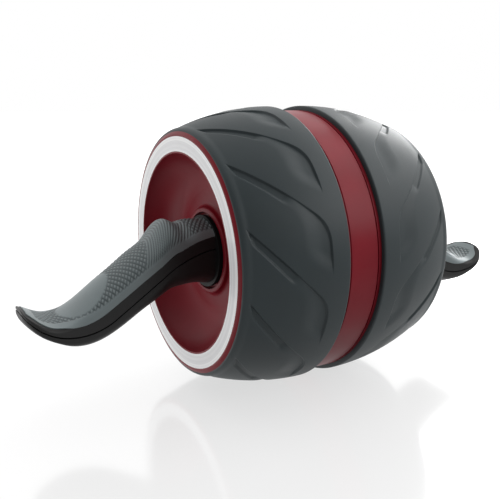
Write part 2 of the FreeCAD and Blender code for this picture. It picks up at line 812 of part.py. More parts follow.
def make_spring_cup():
    """The cup that carries the spring's outer end and is keyed to the drum's posts."""
    body = new_body("spring_cup")
    profile = new_sketch(body, "XY_Plane", "cup_profile")
    key_radius = cup_outer_radius + size.cup_key_height
    outline(profile, [
        (cup_hole_radius, -cup_half_width),
        (key_radius, -cup_half_width),
        (key_radius, size.cup_key_thickness - cup_half_width),
        (cup_outer_radius, size.cup_key_thickness - cup_half_width),
        (cup_outer_radius, cavity_half_width),
        (cup_inner_radius, cavity_half_width),
        (cup_inner_radius, -cavity_half_width),
        (cup_hole_radius, -cavity_half_width),
    ])
    revolve(body, profile, "cup_shell")
    key = new_sketch(body, "XZ_Plane", "cup_key_outline")
    ring(key, size.drum_post_radius + size.end_gap, drum_screw_circle)
    keys = extrude(body, key, "cup_key", (cup_half_width + size.cut_overrun) * 2,
                   "PartDesign::Pocket", both_ways=True)
    repeat_round(body, [keys], "cup_keys", DRUM_SCREWS)
    slot_half = size.spring_thickness * HALF_SHARE + size.fit_gap
    slot = new_sketch(body, "XZ_Plane", "cup_slot_outline", -cavity_half_width)
    slot_end = spring_outer_radius + size.spring_tab_length + size.fit_gap
    outline(slot, [
        (cup_inner_radius - size.cut_overrun, -slot_half),
        (slot_end, -slot_half),
        (slot_end, slot_half),
        (cup_inner_radius - size.cut_overrun, slot_half),
    ])
    extrude(body, slot, "cup_slot", cavity_half_width * 2, "PartDesign::Pocket", reverse=True)
    hole = new_sketch(body, "XZ_Plane", "cup_screw_outline", -cavity_half_width)
    ring(hole, size.cover_screw_radius + size.fit_gap, *round_place(cover_screw_circle, first_cover_screw))
    holes = extrude(body, hole, "cup_screw_hole", size.cover_screw_length, "PartDesign::Pocket", reverse=True)
    repeat_round(body, [holes], "cup_screw_holes", COVER_SCREWS)
    return body


def make_spring_cover():
    """The lid that shuts the spring in its cup."""
    body = new_body("spring_cover")
    sketch = new_sketch(body, "XZ_Plane", "cover_outline", -cavity_half_width)
    ring(sketch, cup_outer_radius)
    ring(sketch, cup_hole_radius)
    extrude(body, sketch, "cover_plate", size.cup_plate, reverse=True)
    hole = new_sketch(body, "XZ_Plane", "cover_screw_outline", -cup_half_width)
    ring(hole, size.cover_screw_radius + size.fit_gap, *round_place(cover_screw_circle, first_cover_screw))
    holes = extrude(body, hole, "cover_screw_hole", size.cup_plate * 2, "PartDesign::Pocket", reverse=True)
    repeat_round(body, [holes], "cover_screw_holes", COVER_SCREWS)
    return body


# Handles

def handle_corner(along_share, height_share):
    """A point of the handle's side view from its shares."""
    return (handle_root_place + size.handle_length * along_share, size.handle_height * height_share)


def section_outline(sketch, half, high, low):
    """Draws one section of the handle: straight sides, round corners, crowned top and underside."""
    height = high - low
    crown = height * CROWN_SHARE
    corner = height * CORNER_SHARE
    radius = (half * half + crown * crown) / (crown * 2)
    reach = radius - corner
    inward = half - corner
    rise = (reach * reach - inward * inward).root()
    side_drop = radius - rise
    join_across = inward * radius / reach
    join_drop = radius - rise * radius / reach
    outline(sketch, [
        (half, low + side_drop),
        (half, high - side_drop),
        (join_across, high - join_drop),
        (-join_across, high - join_drop),
        (-half, high - side_drop),
        (-half, low + side_drop),
        (-join_across, low + join_drop),
        (join_across, low + join_drop),
    ], {
        1: (corner, 1),
        2: (radius, 1),
        3: (corner, 1),
        5: (corner, 1),
        6: (radius, 1),
        7: (corner, 1),
    })


def make_handle_loft(name, inset, stations):
    """The handle's rounded body, drawn in from its skin by inset, through its first stations."""
    body = new_body(name)
    sections = []
    for number, (along, top, bottom, width) in enumerate(HANDLE_STATION_SHARES[:stations]):
        place = handle_root_place + size.handle_length * along
        sketch = new_sketch(body, "XZ_Plane", f"{name}_section_{number}", -place)
        section_outline(
            sketch,
            size.handle_width * (width * HALF_SHARE) - inset,
            size.handle_height * top - inset,
            size.handle_height * bottom + inset,
        )
        sections.append(sketch)
    loft = body.newObject("PartDesign::AdditiveLoft", f"{name}_loft")
    loft.Profile = sections[0]
    loft.Sections = sections[1:]
    return body


def parting_line(fall, rise, shift):
    """Corners of a parting line in the handle's side view, moved up by shift."""
    line = [handle_corner(*shares) for shares in (*fall, *rise)]
    return [(along, up + shift) for along, up in line]


def make_handle_slab(name, corners, radii):
    """A slab across the handle whose outline starts with a parting line's two arcs."""
    body = new_body(name)
    sketch = new_sketch(body, "YZ_Plane", f"{name}_outline")
    outline(sketch, corners, {
        0: (size.handle_length * radii[0], -1),
        2: (size.handle_length * radii[1], 1),
    })
    extrude(body, sketch, f"{name}_slab", size.handle_width * CUT_REACH_SHARE, both_ways=True)
    return body


def make_border_slabs():
    """Slabs for the soft grip, above its border, and for the shells, below it and past its end."""
    root = handle_root_place
    tip = handle_root_place + size.handle_length + size.cut_overrun
    far = size.handle_height * CUT_REACH_SHARE
    line = parting_line(BORDER_FALL_SHARES, BORDER_RISE_SHARES, ZERO)
    end = line[-1][0]
    above = make_handle_slab("above_border", [*line, (end, far), (root, far)], BORDER_RADIUS_SHARES)
    line = parting_line(BORDER_FALL_SHARES, BORDER_RISE_SHARES, -size.fit_gap)
    below = make_handle_slab("below_border", [
        *line, (end, far), (tip, far), (tip, -far), (root, -far)], BORDER_RADIUS_SHARES)
    return above, below


def make_seam_slab(name, shift, side):
    """A slab above (1) or below (-1) the joint of the two shells, moved up by shift."""
    root = handle_root_place
    tip = handle_root_place + size.handle_length + size.cut_overrun
    far = size.handle_height * (CUT_REACH_SHARE * side)
    line = parting_line(SEAM_FALL_SHARES, SEAM_RISE_SHARES, shift)
    return make_handle_slab(name, [
        *line, (tip, line[-1][1]), (tip, far), (root, far)], SEAM_RADIUS_SHARES)


def make_right_handle():
    """The two shells and the soft grip of one handle, bored for the axle and its screws."""
    form = make_handle_loft("handle_form", ZERO, len(HANDLE_STATION_SHARES))
    core = make_handle_loft("handle_core", size.grip_thickness, CORE_STATIONS)
    bed = make_handle_loft("handle_bed", size.grip_thickness - size.fit_gap, CORE_STATIONS)
    above_border, below_border = make_border_slabs()
    above_gap = make_seam_slab("above_gap", size.seam_gap, 1)
    above_seam = make_seam_slab("above_seam", size.fit_gap, 1)
    below_seam = make_seam_slab("below_seam", ZERO, -1)
    grip_block = boolean("Common", "grip_block", form, above_border)
    grip = boolean("Cut", "right_grip", grip_block, bed)
    band = boolean("Common", "band_below_border", form, below_border)
    band = boolean("Common", "upper_band", band, above_gap)
    core_top = boolean("Common", "upper_core", core, above_seam)
    upper_block = boolean("Fuse", "upper_block", band, core_top)
    lower_block = boolean("Common", "lower_block", form, below_seam)
    bores = make_handle_bores()
    upper = boolean("Cut", "right_upper_shell", upper_block, bores)
    lower = boolean("Cut", "right_lower_shell", lower_block, bores)
    for piece in (grip, upper, lower):
        piece.Label = piece.Name
    return [grip, upper, lower]


def shell_screw_places():
    """Where the shell screws' seats lie along the handle and in height."""
    return [handle_corner(*shares) for shares in SHELL_SCREW_SHARES]


def make_handle_bores():
    """The axle socket and the screw holes of a handle as one solid."""
    socket = doc.addObject("Part::Cylinder", "axle_socket")
    socket.setExpression("Radius", (size.axle_radius + size.fit_gap).text)
    depth = axle_half_length + size.fit_gap - handle_root_place + size.cut_overrun
    socket.setExpression("Height", depth.text)
    socket.Placement = FreeCAD.Placement(
        FreeCAD.Vector(), FreeCAD.Rotation(FreeCAD.Vector(1, 0, 0), -FULL_TURN / 4))
    socket.setExpression("Placement.Base.y", (handle_root_place - size.cut_overrun).text)
    seat = -size.axle_bolt_seat
    deep = size.handle_height * CUT_REACH_SHARE
    bolt_depth = size.axle_bolt_seat + size.axle_bolt_reach + size.cut_overrun
    bores = [
        socket,
        rod("bolt_bore", size.axle_bolt_radius + size.fit_gap, bolt_depth,
            ZERO, axle_bolt_place, seat),
        rod("bolt_head_bore", size.axle_bolt_head_radius + size.end_gap, deep,
            ZERO, axle_bolt_place, seat - deep),
    ]
    for number, (along, up) in enumerate(shell_screw_places()):
        bores.append(rod(f"shell_screw_bore_{number}", size.shell_screw_radius + size.fit_gap,
                         size.shell_screw_length + size.cut_overrun, ZERO, along, up))
        bores.append(rod(f"shell_screw_head_bore_{number}", size.shell_screw_head_radius + size.end_gap,
                         deep, ZERO, along, up - deep))
    return joined("handle_bores", bores)


def make_right_collar():
    """The round collar between the handle's root and the hub."""
    body = new_body("right_root_collar")
    sketch = new_sketch(body, "XZ_Plane", "collar_outline", -collar_place)
    ring(sketch, size.collar_radius)
    ring(sketch, size.axle_radius + size.fit_gap)
    extrude(body, sketch, "collar", handle_root_place - collar_place, reverse=True)
    return body


def make_screw(name, radius, length, head_radius, head_height, across, along, up):
    """A screw that points along +Z with its head below the point (across, along, up)."""
    shank = rod(f"{name}_shank", radius, length, across, along, up)
    head = rod(f"{name}_head", head_radius, head_height, across, along, up - head_height)
    return joined(name, [shank, head])


def make_right_handle_screws():
    """The bolt through the axle and the screws that close the two shells."""
    bolt = make_screw("right_axle_bolt", size.axle_bolt_radius, size.axle_bolt_seat + size.axle_bolt_reach,
                      size.axle_bolt_head_radius, size.axle_bolt_head_height,
                      ZERO, axle_bolt_place, -size.axle_bolt_seat)
    screws = [
        make_screw(f"shell_screw_{number}", size.shell_screw_radius, size.shell_screw_length,
                   size.shell_screw_head_radius, size.shell_screw_head_height, ZERO, along, up)
        for number, (along, up) in enumerate(shell_screw_places())
    ]
    group = doc.addObject("Part::Compound", "right_shell_screws")
    group.Links = screws
    return [bolt, group]


# Assembly

def faults():
    """Labels of objects that failed to build."""
    bad = [item.Label for item in doc.Objects if {"Invalid", "Error"} & set(item.State)]
    return bad


def main():
    """Builds every piece, checks it and writes it to its file."""
    rights = [
        make_right_tread(),
        make_right_trim_ring(),
        make_right_bush(),
        make_right_washer(),
        make_right_clip(),
        make_right_collar(),
        *make_right_handle(),
        *make_right_handle_screws(),
    ]
    lefts = [mirrored(piece, piece.Label.replace("right_", "left_")) for piece in rights]
    pieces = [
        *rights,
        *lefts,
        *make_drum(),
        make_drum_screws(),
        make_centre_band(),
        make_axle(),
        make_arbor(),
        make_arbor_pin(),
        make_spring(),
        make_spring_cup(),
        make_spring_cover(),
        make_cover_screws(),
    ]
    doc.recompute()
    failed = faults()
    if failed:
        raise RuntimeError(f"not built: {failed}")
    for piece in pieces:
        if piece.Shape.isNull() or not piece.Shape.isValid():
            raise RuntimeError(f"bad shape: {piece.Label}")
    os.makedirs("parts", exist_ok=True)
    for piece in pieces:
        piece.Shape.exportStep(f"parts/{piece.Label}.step")
        print(piece.Label, len(piece.Shape.Solids), round(piece.Shape.Volume))


main()
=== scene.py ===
"""Ab wheel roller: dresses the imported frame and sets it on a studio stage.

Builds grooved treads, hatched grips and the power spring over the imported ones, and gives every other
piece its finish. Lengths are in metres, in the frame's own axes: the wheel turns about Y, +X is
the way it rolls out and +Z is up. Right-hand pieces lie towards +Y, left-hand pieces towards -Y.
"""
import math

import bmesh
import bpy
import numpy as np
from bpy.props import FloatProperty, FloatVectorProperty, IntProperty, PointerProperty
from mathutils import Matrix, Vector
from mathutils.bvhtree import BVHTree


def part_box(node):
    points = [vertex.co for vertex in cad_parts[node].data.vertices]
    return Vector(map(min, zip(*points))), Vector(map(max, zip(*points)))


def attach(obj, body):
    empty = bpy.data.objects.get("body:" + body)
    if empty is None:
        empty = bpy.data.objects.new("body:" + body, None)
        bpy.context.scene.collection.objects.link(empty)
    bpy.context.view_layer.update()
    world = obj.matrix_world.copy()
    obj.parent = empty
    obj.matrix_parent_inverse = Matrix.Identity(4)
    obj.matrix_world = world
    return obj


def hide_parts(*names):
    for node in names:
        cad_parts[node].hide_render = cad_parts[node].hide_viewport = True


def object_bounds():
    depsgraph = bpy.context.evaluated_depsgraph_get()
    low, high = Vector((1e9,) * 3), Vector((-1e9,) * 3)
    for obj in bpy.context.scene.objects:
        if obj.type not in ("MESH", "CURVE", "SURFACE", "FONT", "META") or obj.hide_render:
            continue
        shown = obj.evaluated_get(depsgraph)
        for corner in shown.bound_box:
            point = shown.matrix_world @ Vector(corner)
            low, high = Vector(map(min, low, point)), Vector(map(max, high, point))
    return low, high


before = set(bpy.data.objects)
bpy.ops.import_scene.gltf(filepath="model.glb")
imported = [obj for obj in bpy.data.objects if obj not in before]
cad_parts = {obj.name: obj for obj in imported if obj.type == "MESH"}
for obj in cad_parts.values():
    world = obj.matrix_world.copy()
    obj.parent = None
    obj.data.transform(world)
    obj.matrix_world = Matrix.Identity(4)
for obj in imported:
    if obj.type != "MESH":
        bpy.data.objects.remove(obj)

bl_info = {
    "name": "Ab wheel roller",
    "version": (1, 0, 0),
    "blender": (4, 5, 0),
    "location": "3D View > Sidebar > Roller",
    "description": "Dresses an ab wheel roller: treads, grips, spring, finishes and a studio stage",
    "category": "Object",
}

CAD_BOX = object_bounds()
SIDES = ("right", "left")
DOWN = Vector((0.0, 0.0, -1.0))
WHITE = (1.0, 1.0, 1.0, 1.0)
# Edges that bend by more than this stay sharp, and points closer than this become one.
SHARP_ANGLE = math.radians(50)
MERGE_DISTANCE = 0.000001
# Rays that read a grip's skin start this far out and aim this far below its top.
CAST_REACH = 0.2
CAST_DROP = 0.026
# The first and last rows lie this far inside the grip's ends, and each row is read by this many rays.
CAST_INSET = 0.00001
CAST_FAN = 160
# The bill's edge is looked for within this width, by halving the gap this many times.
CAST_WIDTH = 0.03
BORDER_SEARCH_STEPS = 18
# Rows of a grip over which its border is evened out.
BORDER_SMOOTH = 21
# Length over which a grip rises to its lip on the bill.
BILL_RUN = 0.010
# Divisions of the power spring's half turns, and rounding of its inner tab's edges.
COIL_STEPS = 36
TAB_ROUND = 0.0002
# Divisions of a groove's bends, of a tread's bed and lip, and of the line that its rows are spread along.
BEND_STEPS = 12
BED_STEPS = 6
LIP_STEPS = 4
FINE_STEPS = 2000
# Length over which a tread rises to its lip.
LIP_RUN = 0.004
# Where, from heel to tail, a groove's soft ramp has narrowed to its width at the tail.
RAMP_SHARE = 0.28
# How much closer a tread's rows and columns stand at its edge and at the grooves' steep sides.
CROWD_REACH = 0.0013
ROW_CROWD = 3.0
COLUMN_CROWD = 0.7
# Where a noise's two shades start to blend into each other.
SHADE_SPAN = (0.3, 0.7)
# Clouds and grain of moulded rubber and plastic.
CLOUD_SCALE = 38.0
CLOUD_DETAIL = 3.0
CLOUD_SPREAD = 0.08
GRAIN_DETAIL = 2.0
GRAIN_HEIGHT = 0.0003
# Width of the trim ring, and where its borders and its band meet as shares of it from the inside.
TRIM_WIDTH = 0.0095
TRIM_STOPS = (0.12, 0.14, 0.72, 0.74)
# Brushing of the trim ring.
BRUSH_SCALE = 620.0
BRUSH_DETAIL = 3.0
BRUSH_SHADE = (0.95, 0.95, 0.95)
BRUSH_SPREAD = 0.05
BRUSH_UNEVEN = 0.08
BRUSH_STRENGTH = 0.12
BRUSH_HEIGHT = 0.0002
# Lathe marks on steel.
LATHE_SPECULAR = 0.5
LATHE_SCALE = 900.0
LATHE_DETAIL = 2.0
LATHE_STRETCH = (0.02, 1.0, 0.02)
LATHE_SPREAD = 0.06
LATHE_UNEVEN = 0.06
LATHE_STRENGTH = 0.1
LATHE_HEIGHT = 0.0001
# Divisions of the floor's edge, and its faint clouds.
FLOOR_SEGMENTS = 96
FLOOR_CLOUD_SCALE = 3.0
FLOOR_CLOUD_DETAIL = 2.0
FLOOR_CLOUD_SPREAD = 0.01
# Where the surround turns from dim to bright, towards its bright side and upwards.
BRIGHT_SPAN = (-0.3, 0.5)
BELOW_SPAN = (-0.2, 0.0)
# Width and height of the soft boxes.
SOFTBOX_SIZES = {"key": (1.0, 1.0), "rim": (0.5, 0.9), "front": (0.9, 0.9), "fill": (1.0, 0.4)}
# Width of the camera's sensor in millimetres, and the nearest distance that it sees.
SENSOR_WIDTH = 36.0
CLIP_START = 0.01


# Settings

def length_setting(name, description, default):
    """A length in metres, shown to a hundredth of a millimetre."""
    return FloatProperty(
        name=name, description=description, default=default, unit="LENGTH", precision=5)


def span_setting(name, description, default):
    """Two lengths in metres that belong together."""
    return FloatVectorProperty(
        name=name, description=description, size=2, default=default, unit="LENGTH", precision=5)


def corner_setting(name, description, default):
    """A groove corner, as two shares."""
    return FloatVectorProperty(name=name, description=description, size=2, default=default)


def angle_setting(name, description, degrees):
    """An angle, given in degrees."""
    return FloatProperty(
        name=name, description=description, default=math.radians(degrees), subtype="ANGLE")


def colour_setting(name, description, default):
    """A colour of a finish."""
    return FloatVectorProperty(name=name, description=description, default=default, subtype="COLOR")


def place_setting(name, description, default):
    """A place in the frame's axes."""
    return FloatVectorProperty(
        name=name, description=description, default=default, subtype="TRANSLATION")


def power_setting(name, description, watts):
    """The power of a light."""
    return FloatProperty(name=name, description=description, default=watts, unit="POWER")


class RollerGripSizes(bpy.types.PropertyGroup):
    """Sizes of the soft grips and their hatching."""

    hatch_pitch: length_setting("Hatch pitch", "Distance between two hatch lines", 0.0025)
    hatch_depth: length_setting(
        "Hatch depth", "How far the hatch lines are sunk into the rubber", 0.0005)
    hatch_angle: angle_setting("Hatch angle", "Slant of the hatch lines from the grip's length", 57)
    border_strip: length_setting(
        "Border strip", "Width of the smooth strip along the grip's border", 0.005)
    hump_span: span_setting(
        "Thumb hump", "Where the thumb hump starts and ends from the grip's root", (0.015, 0.047))
    hump_pitch: length_setting("Hump pitch", "Distance between two lines on the thumb hump", 0.0019)
    hump_slant: angle_setting("Hump slant", "Slant of the thumb hump's lines away from its crest", 22)
    hump_crest: length_setting("Hump crest", "Reach over which the hump's lines round the crest", 0.004)
    palm_place: length_setting(
        "Palm patch", "Middle of the smooth palm patch from the grip's root", 0.0968)
    palm_reach: span_setting(
        "Palm patch reach", "Half the patch's length and half its width", (0.0177, 0.0165))
    bill_margin: span_setting(
        "Bill margin", "Rim of bare shell round the grip's end, at its sides and at its tip",
        (0.0025, 0.0022))
    bill_lip: length_setting(
        "Bill lip", "How far the grip stands proud of the shell on the bill", 0.0005)
    wall: length_setting("Wall", "Thickness of the grip's rubber, down to its bed in the shell", 0.002)
    bill_sink: length_setting("Bill sink", "How far the grip is let into the shell on the bill", 0.0003)
    blend_width: length_setting("Hatch fade", "Width over which the hatching fades out", 0.002)
    steps_along: IntProperty(
        name="Steps along", description="Divisions of the skin along the grip", default=300)
    steps_across: IntProperty(
        name="Steps across", description="Divisions of the skin across the grip", default=130)


class RollerTreadSizes(bpy.types.PropertyGroup):
    """Sizes of the treads and their hooked grooves.

    Groove corners are pairs: how far round the tread, as a share of the wheel's radius, and how far
    along the axle, as a share of the tread's width from the band.
    """

    crown_drop: length_setting(
        "Crown drop", "How much lower the tread is at the rim than at the band", 0.013)
    edge_round: length_setting("Edge round", "Rounding of the tread's edge next to the band", 0.0012)
    thickness: length_setting("Thickness", "Thickness of the rubber", 0.005)
    lip_reach: length_setting(
        "Lip reach", "How far the tread's thin lip runs on over the rounded rim", 0.0019)
    lip_height: length_setting("Lip height", "How far the lip stands proud of the rim", 0.0006)
    lip_sink: length_setting("Lip sink", "How far the lip is let into the rim", 0.0003)
    lip_round: length_setting("Lip round", "Rounding of the lip's end", 0.0005)
    rim_round: length_setting("Rim round", "Radius of the drum's rim under the lip", 0.0065)
    grooves: IntProperty(name="Grooves", description="Grooves round each tread", default=12)
    groove_turn: angle_setting("Groove turn", "Angle of the first groove from the top", 7)
    groove_depth: length_setting("Groove depth", "Depth of the grooves", 0.0013)
    groove_tail: corner_setting("Groove tail", "Pointed end near the rim", (-0.411, 0.975))
    groove_shoulder: corner_setting("Groove shoulder", "Corner next to the tail", (-0.306, 0.930))
    inner_bend_start: corner_setting(
        "Inner bend start", "Start of the bend on the side of the rim", (-0.046, 0.552))
    inner_bend_end: corner_setting(
        "Inner bend end", "End of the bend on the side of the rim", (0.150, 0.480))
    groove_heel: corner_setting(
        "Groove heel", "Corner of the hook's end on the side of the rim", (0.293, 0.480))
    groove_tip: corner_setting(
        "Groove tip", "Corner of the hook's end on the side of the band", (0.402, 0.194))
    outer_bend_start: corner_setting(
        "Outer bend start", "End of the hook's straight side", (0.190, 0.200))
    outer_bend_end: corner_setting(
        "Outer bend end", "End of the bend on the side of the band", (0.005, 0.325))
    bend_radius: length_setting("Bend radius", "Radius of both bends", 0.024)
    outer_wall: length_setting("Steep wall", "Width of the steep wall on the side of the band", 0.0008)
    inner_ramp: span_setting(
        "Soft ramp", "Width of the ramp on the side of the rim, at the tail and at the hook",
        (0.0018, 0.013))
    heel_ramp: length_setting("Heel ramp", "Width of the ramp at the hook's end", 0.010)
    rows: IntProperty(name="Rows", description="Divisions across the tread", default=104)
    steps_per_groove: IntProperty(
        name="Steps per groove", description="Divisions round the tread for each groove", default=60)


class RollerSpringSizes(bpy.types.PropertyGroup):
    """Sizes of the flat spiral power spring."""

    thickness: length_setting("Strip thickness", "Thickness of the spring's strip", 0.001)
    turns: IntProperty(name="Turns", description="Turns of the coil", default=10)
    tab_length: length_setting("Tab length", "How far the tabs at both ends reach", 0.004)
    tab_gap: length_setting("Tab gap", "Room between the inner tab and the coil", 0.0002)


class RollerColours(bpy.types.PropertyGroup):
    """Colours of the finishes."""

    tread: colour_setting("Tread rubber", "Slate rubber of the treads", (0.021, 0.030, 0.033))
    grip: colour_setting("Grip rubber", "Grey soft rubber of the grips", (0.162, 0.196, 0.202))
    # Painted shade: the grips' rubber is darkened towards this colour in the hatch lines, most where they
    # are cut deepest.
    hatch: colour_setting(
        "Hatch lines", "Darker rubber in the grips' hatch lines", (0.047, 0.061, 0.064))
    drum: colour_setting("Drum red", "Deep red plastic of the drum and its band", (0.190, 0.007, 0.015))
    trim: colour_setting("Trim silver", "Silver band of the ring on each rim", (0.86, 0.86, 0.87))
    trim_border: colour_setting(
        "Trim border", "Bright borders of the ring on each rim", (1.0, 1.0, 1.0))
    shell: colour_setting("Shell black", "Black plastic of the handle shells", (0.014, 0.014, 0.014))
    collar: colour_setting(
        "Collar black", "Black plastic of the collars and the spring arbor", (0.004, 0.004, 0.004))
    nylon: colour_setting(
        "Bush nylon", "Off-white nylon of the bushes and the spring cup", (0.62, 0.60, 0.54))
    steel: colour_setting("Steel", "Bright steel of the axle and the screws", (0.56, 0.56, 0.55))
    spring: colour_setting("Spring steel", "Blued steel of the power spring", (0.23, 0.25, 0.29))
    floor: colour_setting("Floor", "Pale studio floor", (0.22, 0.22, 0.22))


class RollerStageSizes(bpy.types.PropertyGroup):
    """Where the camera stands and how bright the studio is."""

    camera_place: place_setting("Camera place", "Where the camera stands", (0.4027, -0.2606, 0.1027))
    camera_aim: FloatVectorProperty(
        name="Camera aim", description="Direction that the camera looks in",
        subtype="DIRECTION", default=(-0.8435, 0.4893, -0.2219))
    camera_lens: FloatProperty(
        name="Lens", description="Focal length of the camera in millimetres", default=50.63, unit="CAMERA")
    floor_radius: length_setting("Floor radius", "How far the floor reaches", 6.0)
    floor_glow: FloatProperty(
        name="Floor glow", description="Brightness of the lit floor before its sheen", default=0.66)
    bright_side: FloatVectorProperty(
        name="Bright side", description="Direction in which the surround is brightest",
        subtype="DIRECTION", default=(-0.82, 0.475, 0.33))
    surround: FloatVectorProperty(
        name="Surround", description="Brightness of the surround on its dim and on its bright side",
        size=2, default=(0.45, 1.2))
    below: FloatProperty(
        name="Below", description="Share of the surround's brightness that comes from below", default=0.3)
    key_place: place_setting(
        "Key light", "Where the large key light hangs, on the right and behind", (0.26, 1.2, 1.1))
    key_power: power_setting("Key power", "Power of the key light in watts", 8.0)
    rim_place: place_setting(
        "Rim light", "Where the rim light stands, on the right behind the wheel", (-0.75, 1.25, 0.55))
    rim_power: power_setting("Rim power", "Power of the rim light in watts", 10.5)
    front_place: place_setting(
        "Front light", "Where the front light hangs, on the right of the camera", (1.25, 0.85, 0.8))
    front_power: power_setting("Front power", "Power of the front light in watts", 10.0)
    fill_place: place_setting(
        "Fill light", "Where the fill light shines from, low and behind on the left",
        (-0.40, -1.15, -0.50))
    fill_power: power_setting("Fill power", "Power of the fill light in watts", 4.4)


# Finishes

def new_finish(name, roughness, specular, metallic=0.0, coat=0.0):
    """A material with its plain numbers on the shader, and the shader itself."""
    material = bpy.data.materials.new(name)
    material.use_nodes = True
    shader = material.node_tree.nodes["Principled BSDF"]
    shader.inputs["Roughness"].default_value = roughness
    shader.inputs["Specular IOR Level"].default_value = specular
    shader.inputs["Metallic"].default_value = metallic
    shader.inputs["Coat Weight"].default_value = coat
    return material, shader


def add_node(tree, kind, inputs, **settings):
    """A shader node with its settings, whose inputs are given values or linked to other nodes."""
    node = tree.nodes.new(f"ShaderNode{kind}")
    for name, value in settings.items():
        setattr(node, name, value)
    for name, value in inputs.items():
        if isinstance(value, bpy.types.NodeSocket):
            tree.links.new(value, node.inputs[name])
        else:
            node.inputs[name].default_value = value
    return node


def add_noise(tree, scale, detail, stretch=(1.0, 1.0, 1.0)):
    """A noise on the piece's own coordinates, stretched along its axes."""
    place = add_node(tree, "TexCoord", {})
    mapping = add_node(tree, "Mapping", {"Vector": place.outputs["Object"], "Scale": stretch})
    inputs = {"Vector": mapping.outputs["Vector"], "Scale": scale, "Detail": detail}
    return add_node(tree, "TexNoise", inputs).outputs["Fac"]


def vary_colour(tree, shader, factor, colour, spread):
    """Lets the base colour wander by a share of itself."""
    ramp = add_node(tree, "ValToRGB", {"Fac": factor})
    for stop, place, change in zip(ramp.color_ramp.elements, SHADE_SPAN, (-spread, spread)):
        stop.position = place
        stop.color = [channel * (1.0 + change) for channel in colour] + [1.0]
    tree.links.new(ramp.outputs["Color"], shader.inputs["Base Color"])


def vary_roughness(tree, shader, factor, middle, reach):
    """Lets the roughness wander round a middle value."""
    inputs = {"Value": factor, "To Min": middle - reach, "To Max": middle + reach}
    spread = add_node(tree, "MapRange", inputs)
    tree.links.new(spread.outputs["Result"], shader.inputs["Roughness"])


def add_grain(tree, shader, height, strength, distance):
    """Raises the surface by a height field."""
    bump = add_node(tree, "Bump", {"Height": height, "Strength": strength, "Distance": distance})
    tree.links.new(bump.outputs["Normal"], shader.inputs["Normal"])


def moulded_finish(name, colour, roughness, specular, grain_scale, grain_strength, uneven=0.05):
    """A moulded rubber or plastic: fine grain, slightly uneven colour and sheen."""
    material, shader = new_finish(name, roughness, specular)
    tree = material.node_tree
    cloud = add_noise(tree, CLOUD_SCALE, CLOUD_DETAIL)
    vary_colour(tree, shader, cloud, colour, CLOUD_SPREAD)
    vary_roughness(tree, shader, cloud, roughness, uneven)
    grain = add_noise(tree, grain_scale, GRAIN_DETAIL)
    add_grain(tree, shader, grain, grain_strength, GRAIN_HEIGHT)
    return material


def hatch_shaded_finish(name, colour, groove_shade_colour, **moulding):
    """The grips' rubber: moulded rubber with painted shade in its hatch lines, by their depth."""
    material = moulded_finish(name, colour, **moulding)
    tree = material.node_tree
    shader = tree.nodes["Principled BSDF"]
    plain = shader.inputs["Base Color"].links[0].from_socket
    # Painted shade in the grooves: the base colour darkens towards the hatch colour by the depth of each
    # hatch line.
    lines = add_node(tree, "Attribute", {}, attribute_name="hatch")
    shades = {"Factor": lines.outputs["Fac"], "A": plain, "B": (*groove_shade_colour, 1.0)}
    blend = add_node(tree, "Mix", shades, data_type="RGBA")
    tree.links.new(blend.outputs["Result"], shader.inputs["Base Color"])
    return material


def brushed_finish(name, colour, border_colour, roughness, specular, coat):
    """A satin ring brushed round the axle, with a bright border along each edge."""
    material, shader = new_finish(name, roughness, specular, coat=coat)
    tree = material.node_tree
    place = add_node(tree, "TexCoord", {}).outputs["Object"]
    across = add_node(tree, "VectorMath", {0: place, 1: (1.0, 0.0, 1.0)}, operation="MULTIPLY")
    distance = add_node(tree, "VectorMath", {0: across.outputs["Vector"]}, operation="LENGTH")
    radius = distance.outputs["Value"]
    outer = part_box("right_trim_ring")[1].x
    width = {"Value": radius, "From Min": outer - TRIM_WIDTH, "From Max": outer}
    plate = add_node(tree, "ValToRGB", {"Fac": add_node(tree, "MapRange", width).outputs["Result"]})
    stops = plate.color_ramp.elements
    for position in TRIM_STOPS:
        stops.new(position)
    border = (border_colour, border_colour)
    for stop, shade in zip(stops, (*border, colour, colour, *border)):
        stop.color = (*shade, 1.0)
    noise = {"W": radius, "Scale": BRUSH_SCALE, "Detail": BRUSH_DETAIL}
    rings = add_node(tree, "TexNoise", noise, noise_dimensions="1D").outputs["Fac"]
    vary_colour(tree, shader, rings, BRUSH_SHADE, BRUSH_SPREAD)
    brushing = shader.inputs["Base Color"].links[0].from_socket
    shades = {"Factor": 1.0, "A": plate.outputs["Color"], "B": brushing}
    blend = add_node(tree, "Mix", shades, data_type="RGBA", blend_type="MULTIPLY")
    tree.links.new(blend.outputs["Result"], shader.inputs["Base Color"])
    vary_roughness(tree, shader, rings, roughness, BRUSH_UNEVEN)
    add_grain(tree, shader, rings, BRUSH_STRENGTH, BRUSH_HEIGHT)
    return material


def turned_metal(name, colour, roughness):
    """A metal turned on a lathe: fine rings round the axle."""
    material, shader = new_finish(name, roughness, LATHE_SPECULAR, metallic=1.0)
    tree = material.node_tree
    rings = add_noise(tree, LATHE_SCALE, LATHE_DETAIL, stretch=LATHE_STRETCH)
    vary_colour(tree, shader, rings, colour, LATHE_SPREAD)
    vary_roughness(tree, shader, rings, roughness, LATHE_UNEVEN)
    add_grain(tree, shader, rings, LATHE_STRENGTH, LATHE_HEIGHT)
    return material


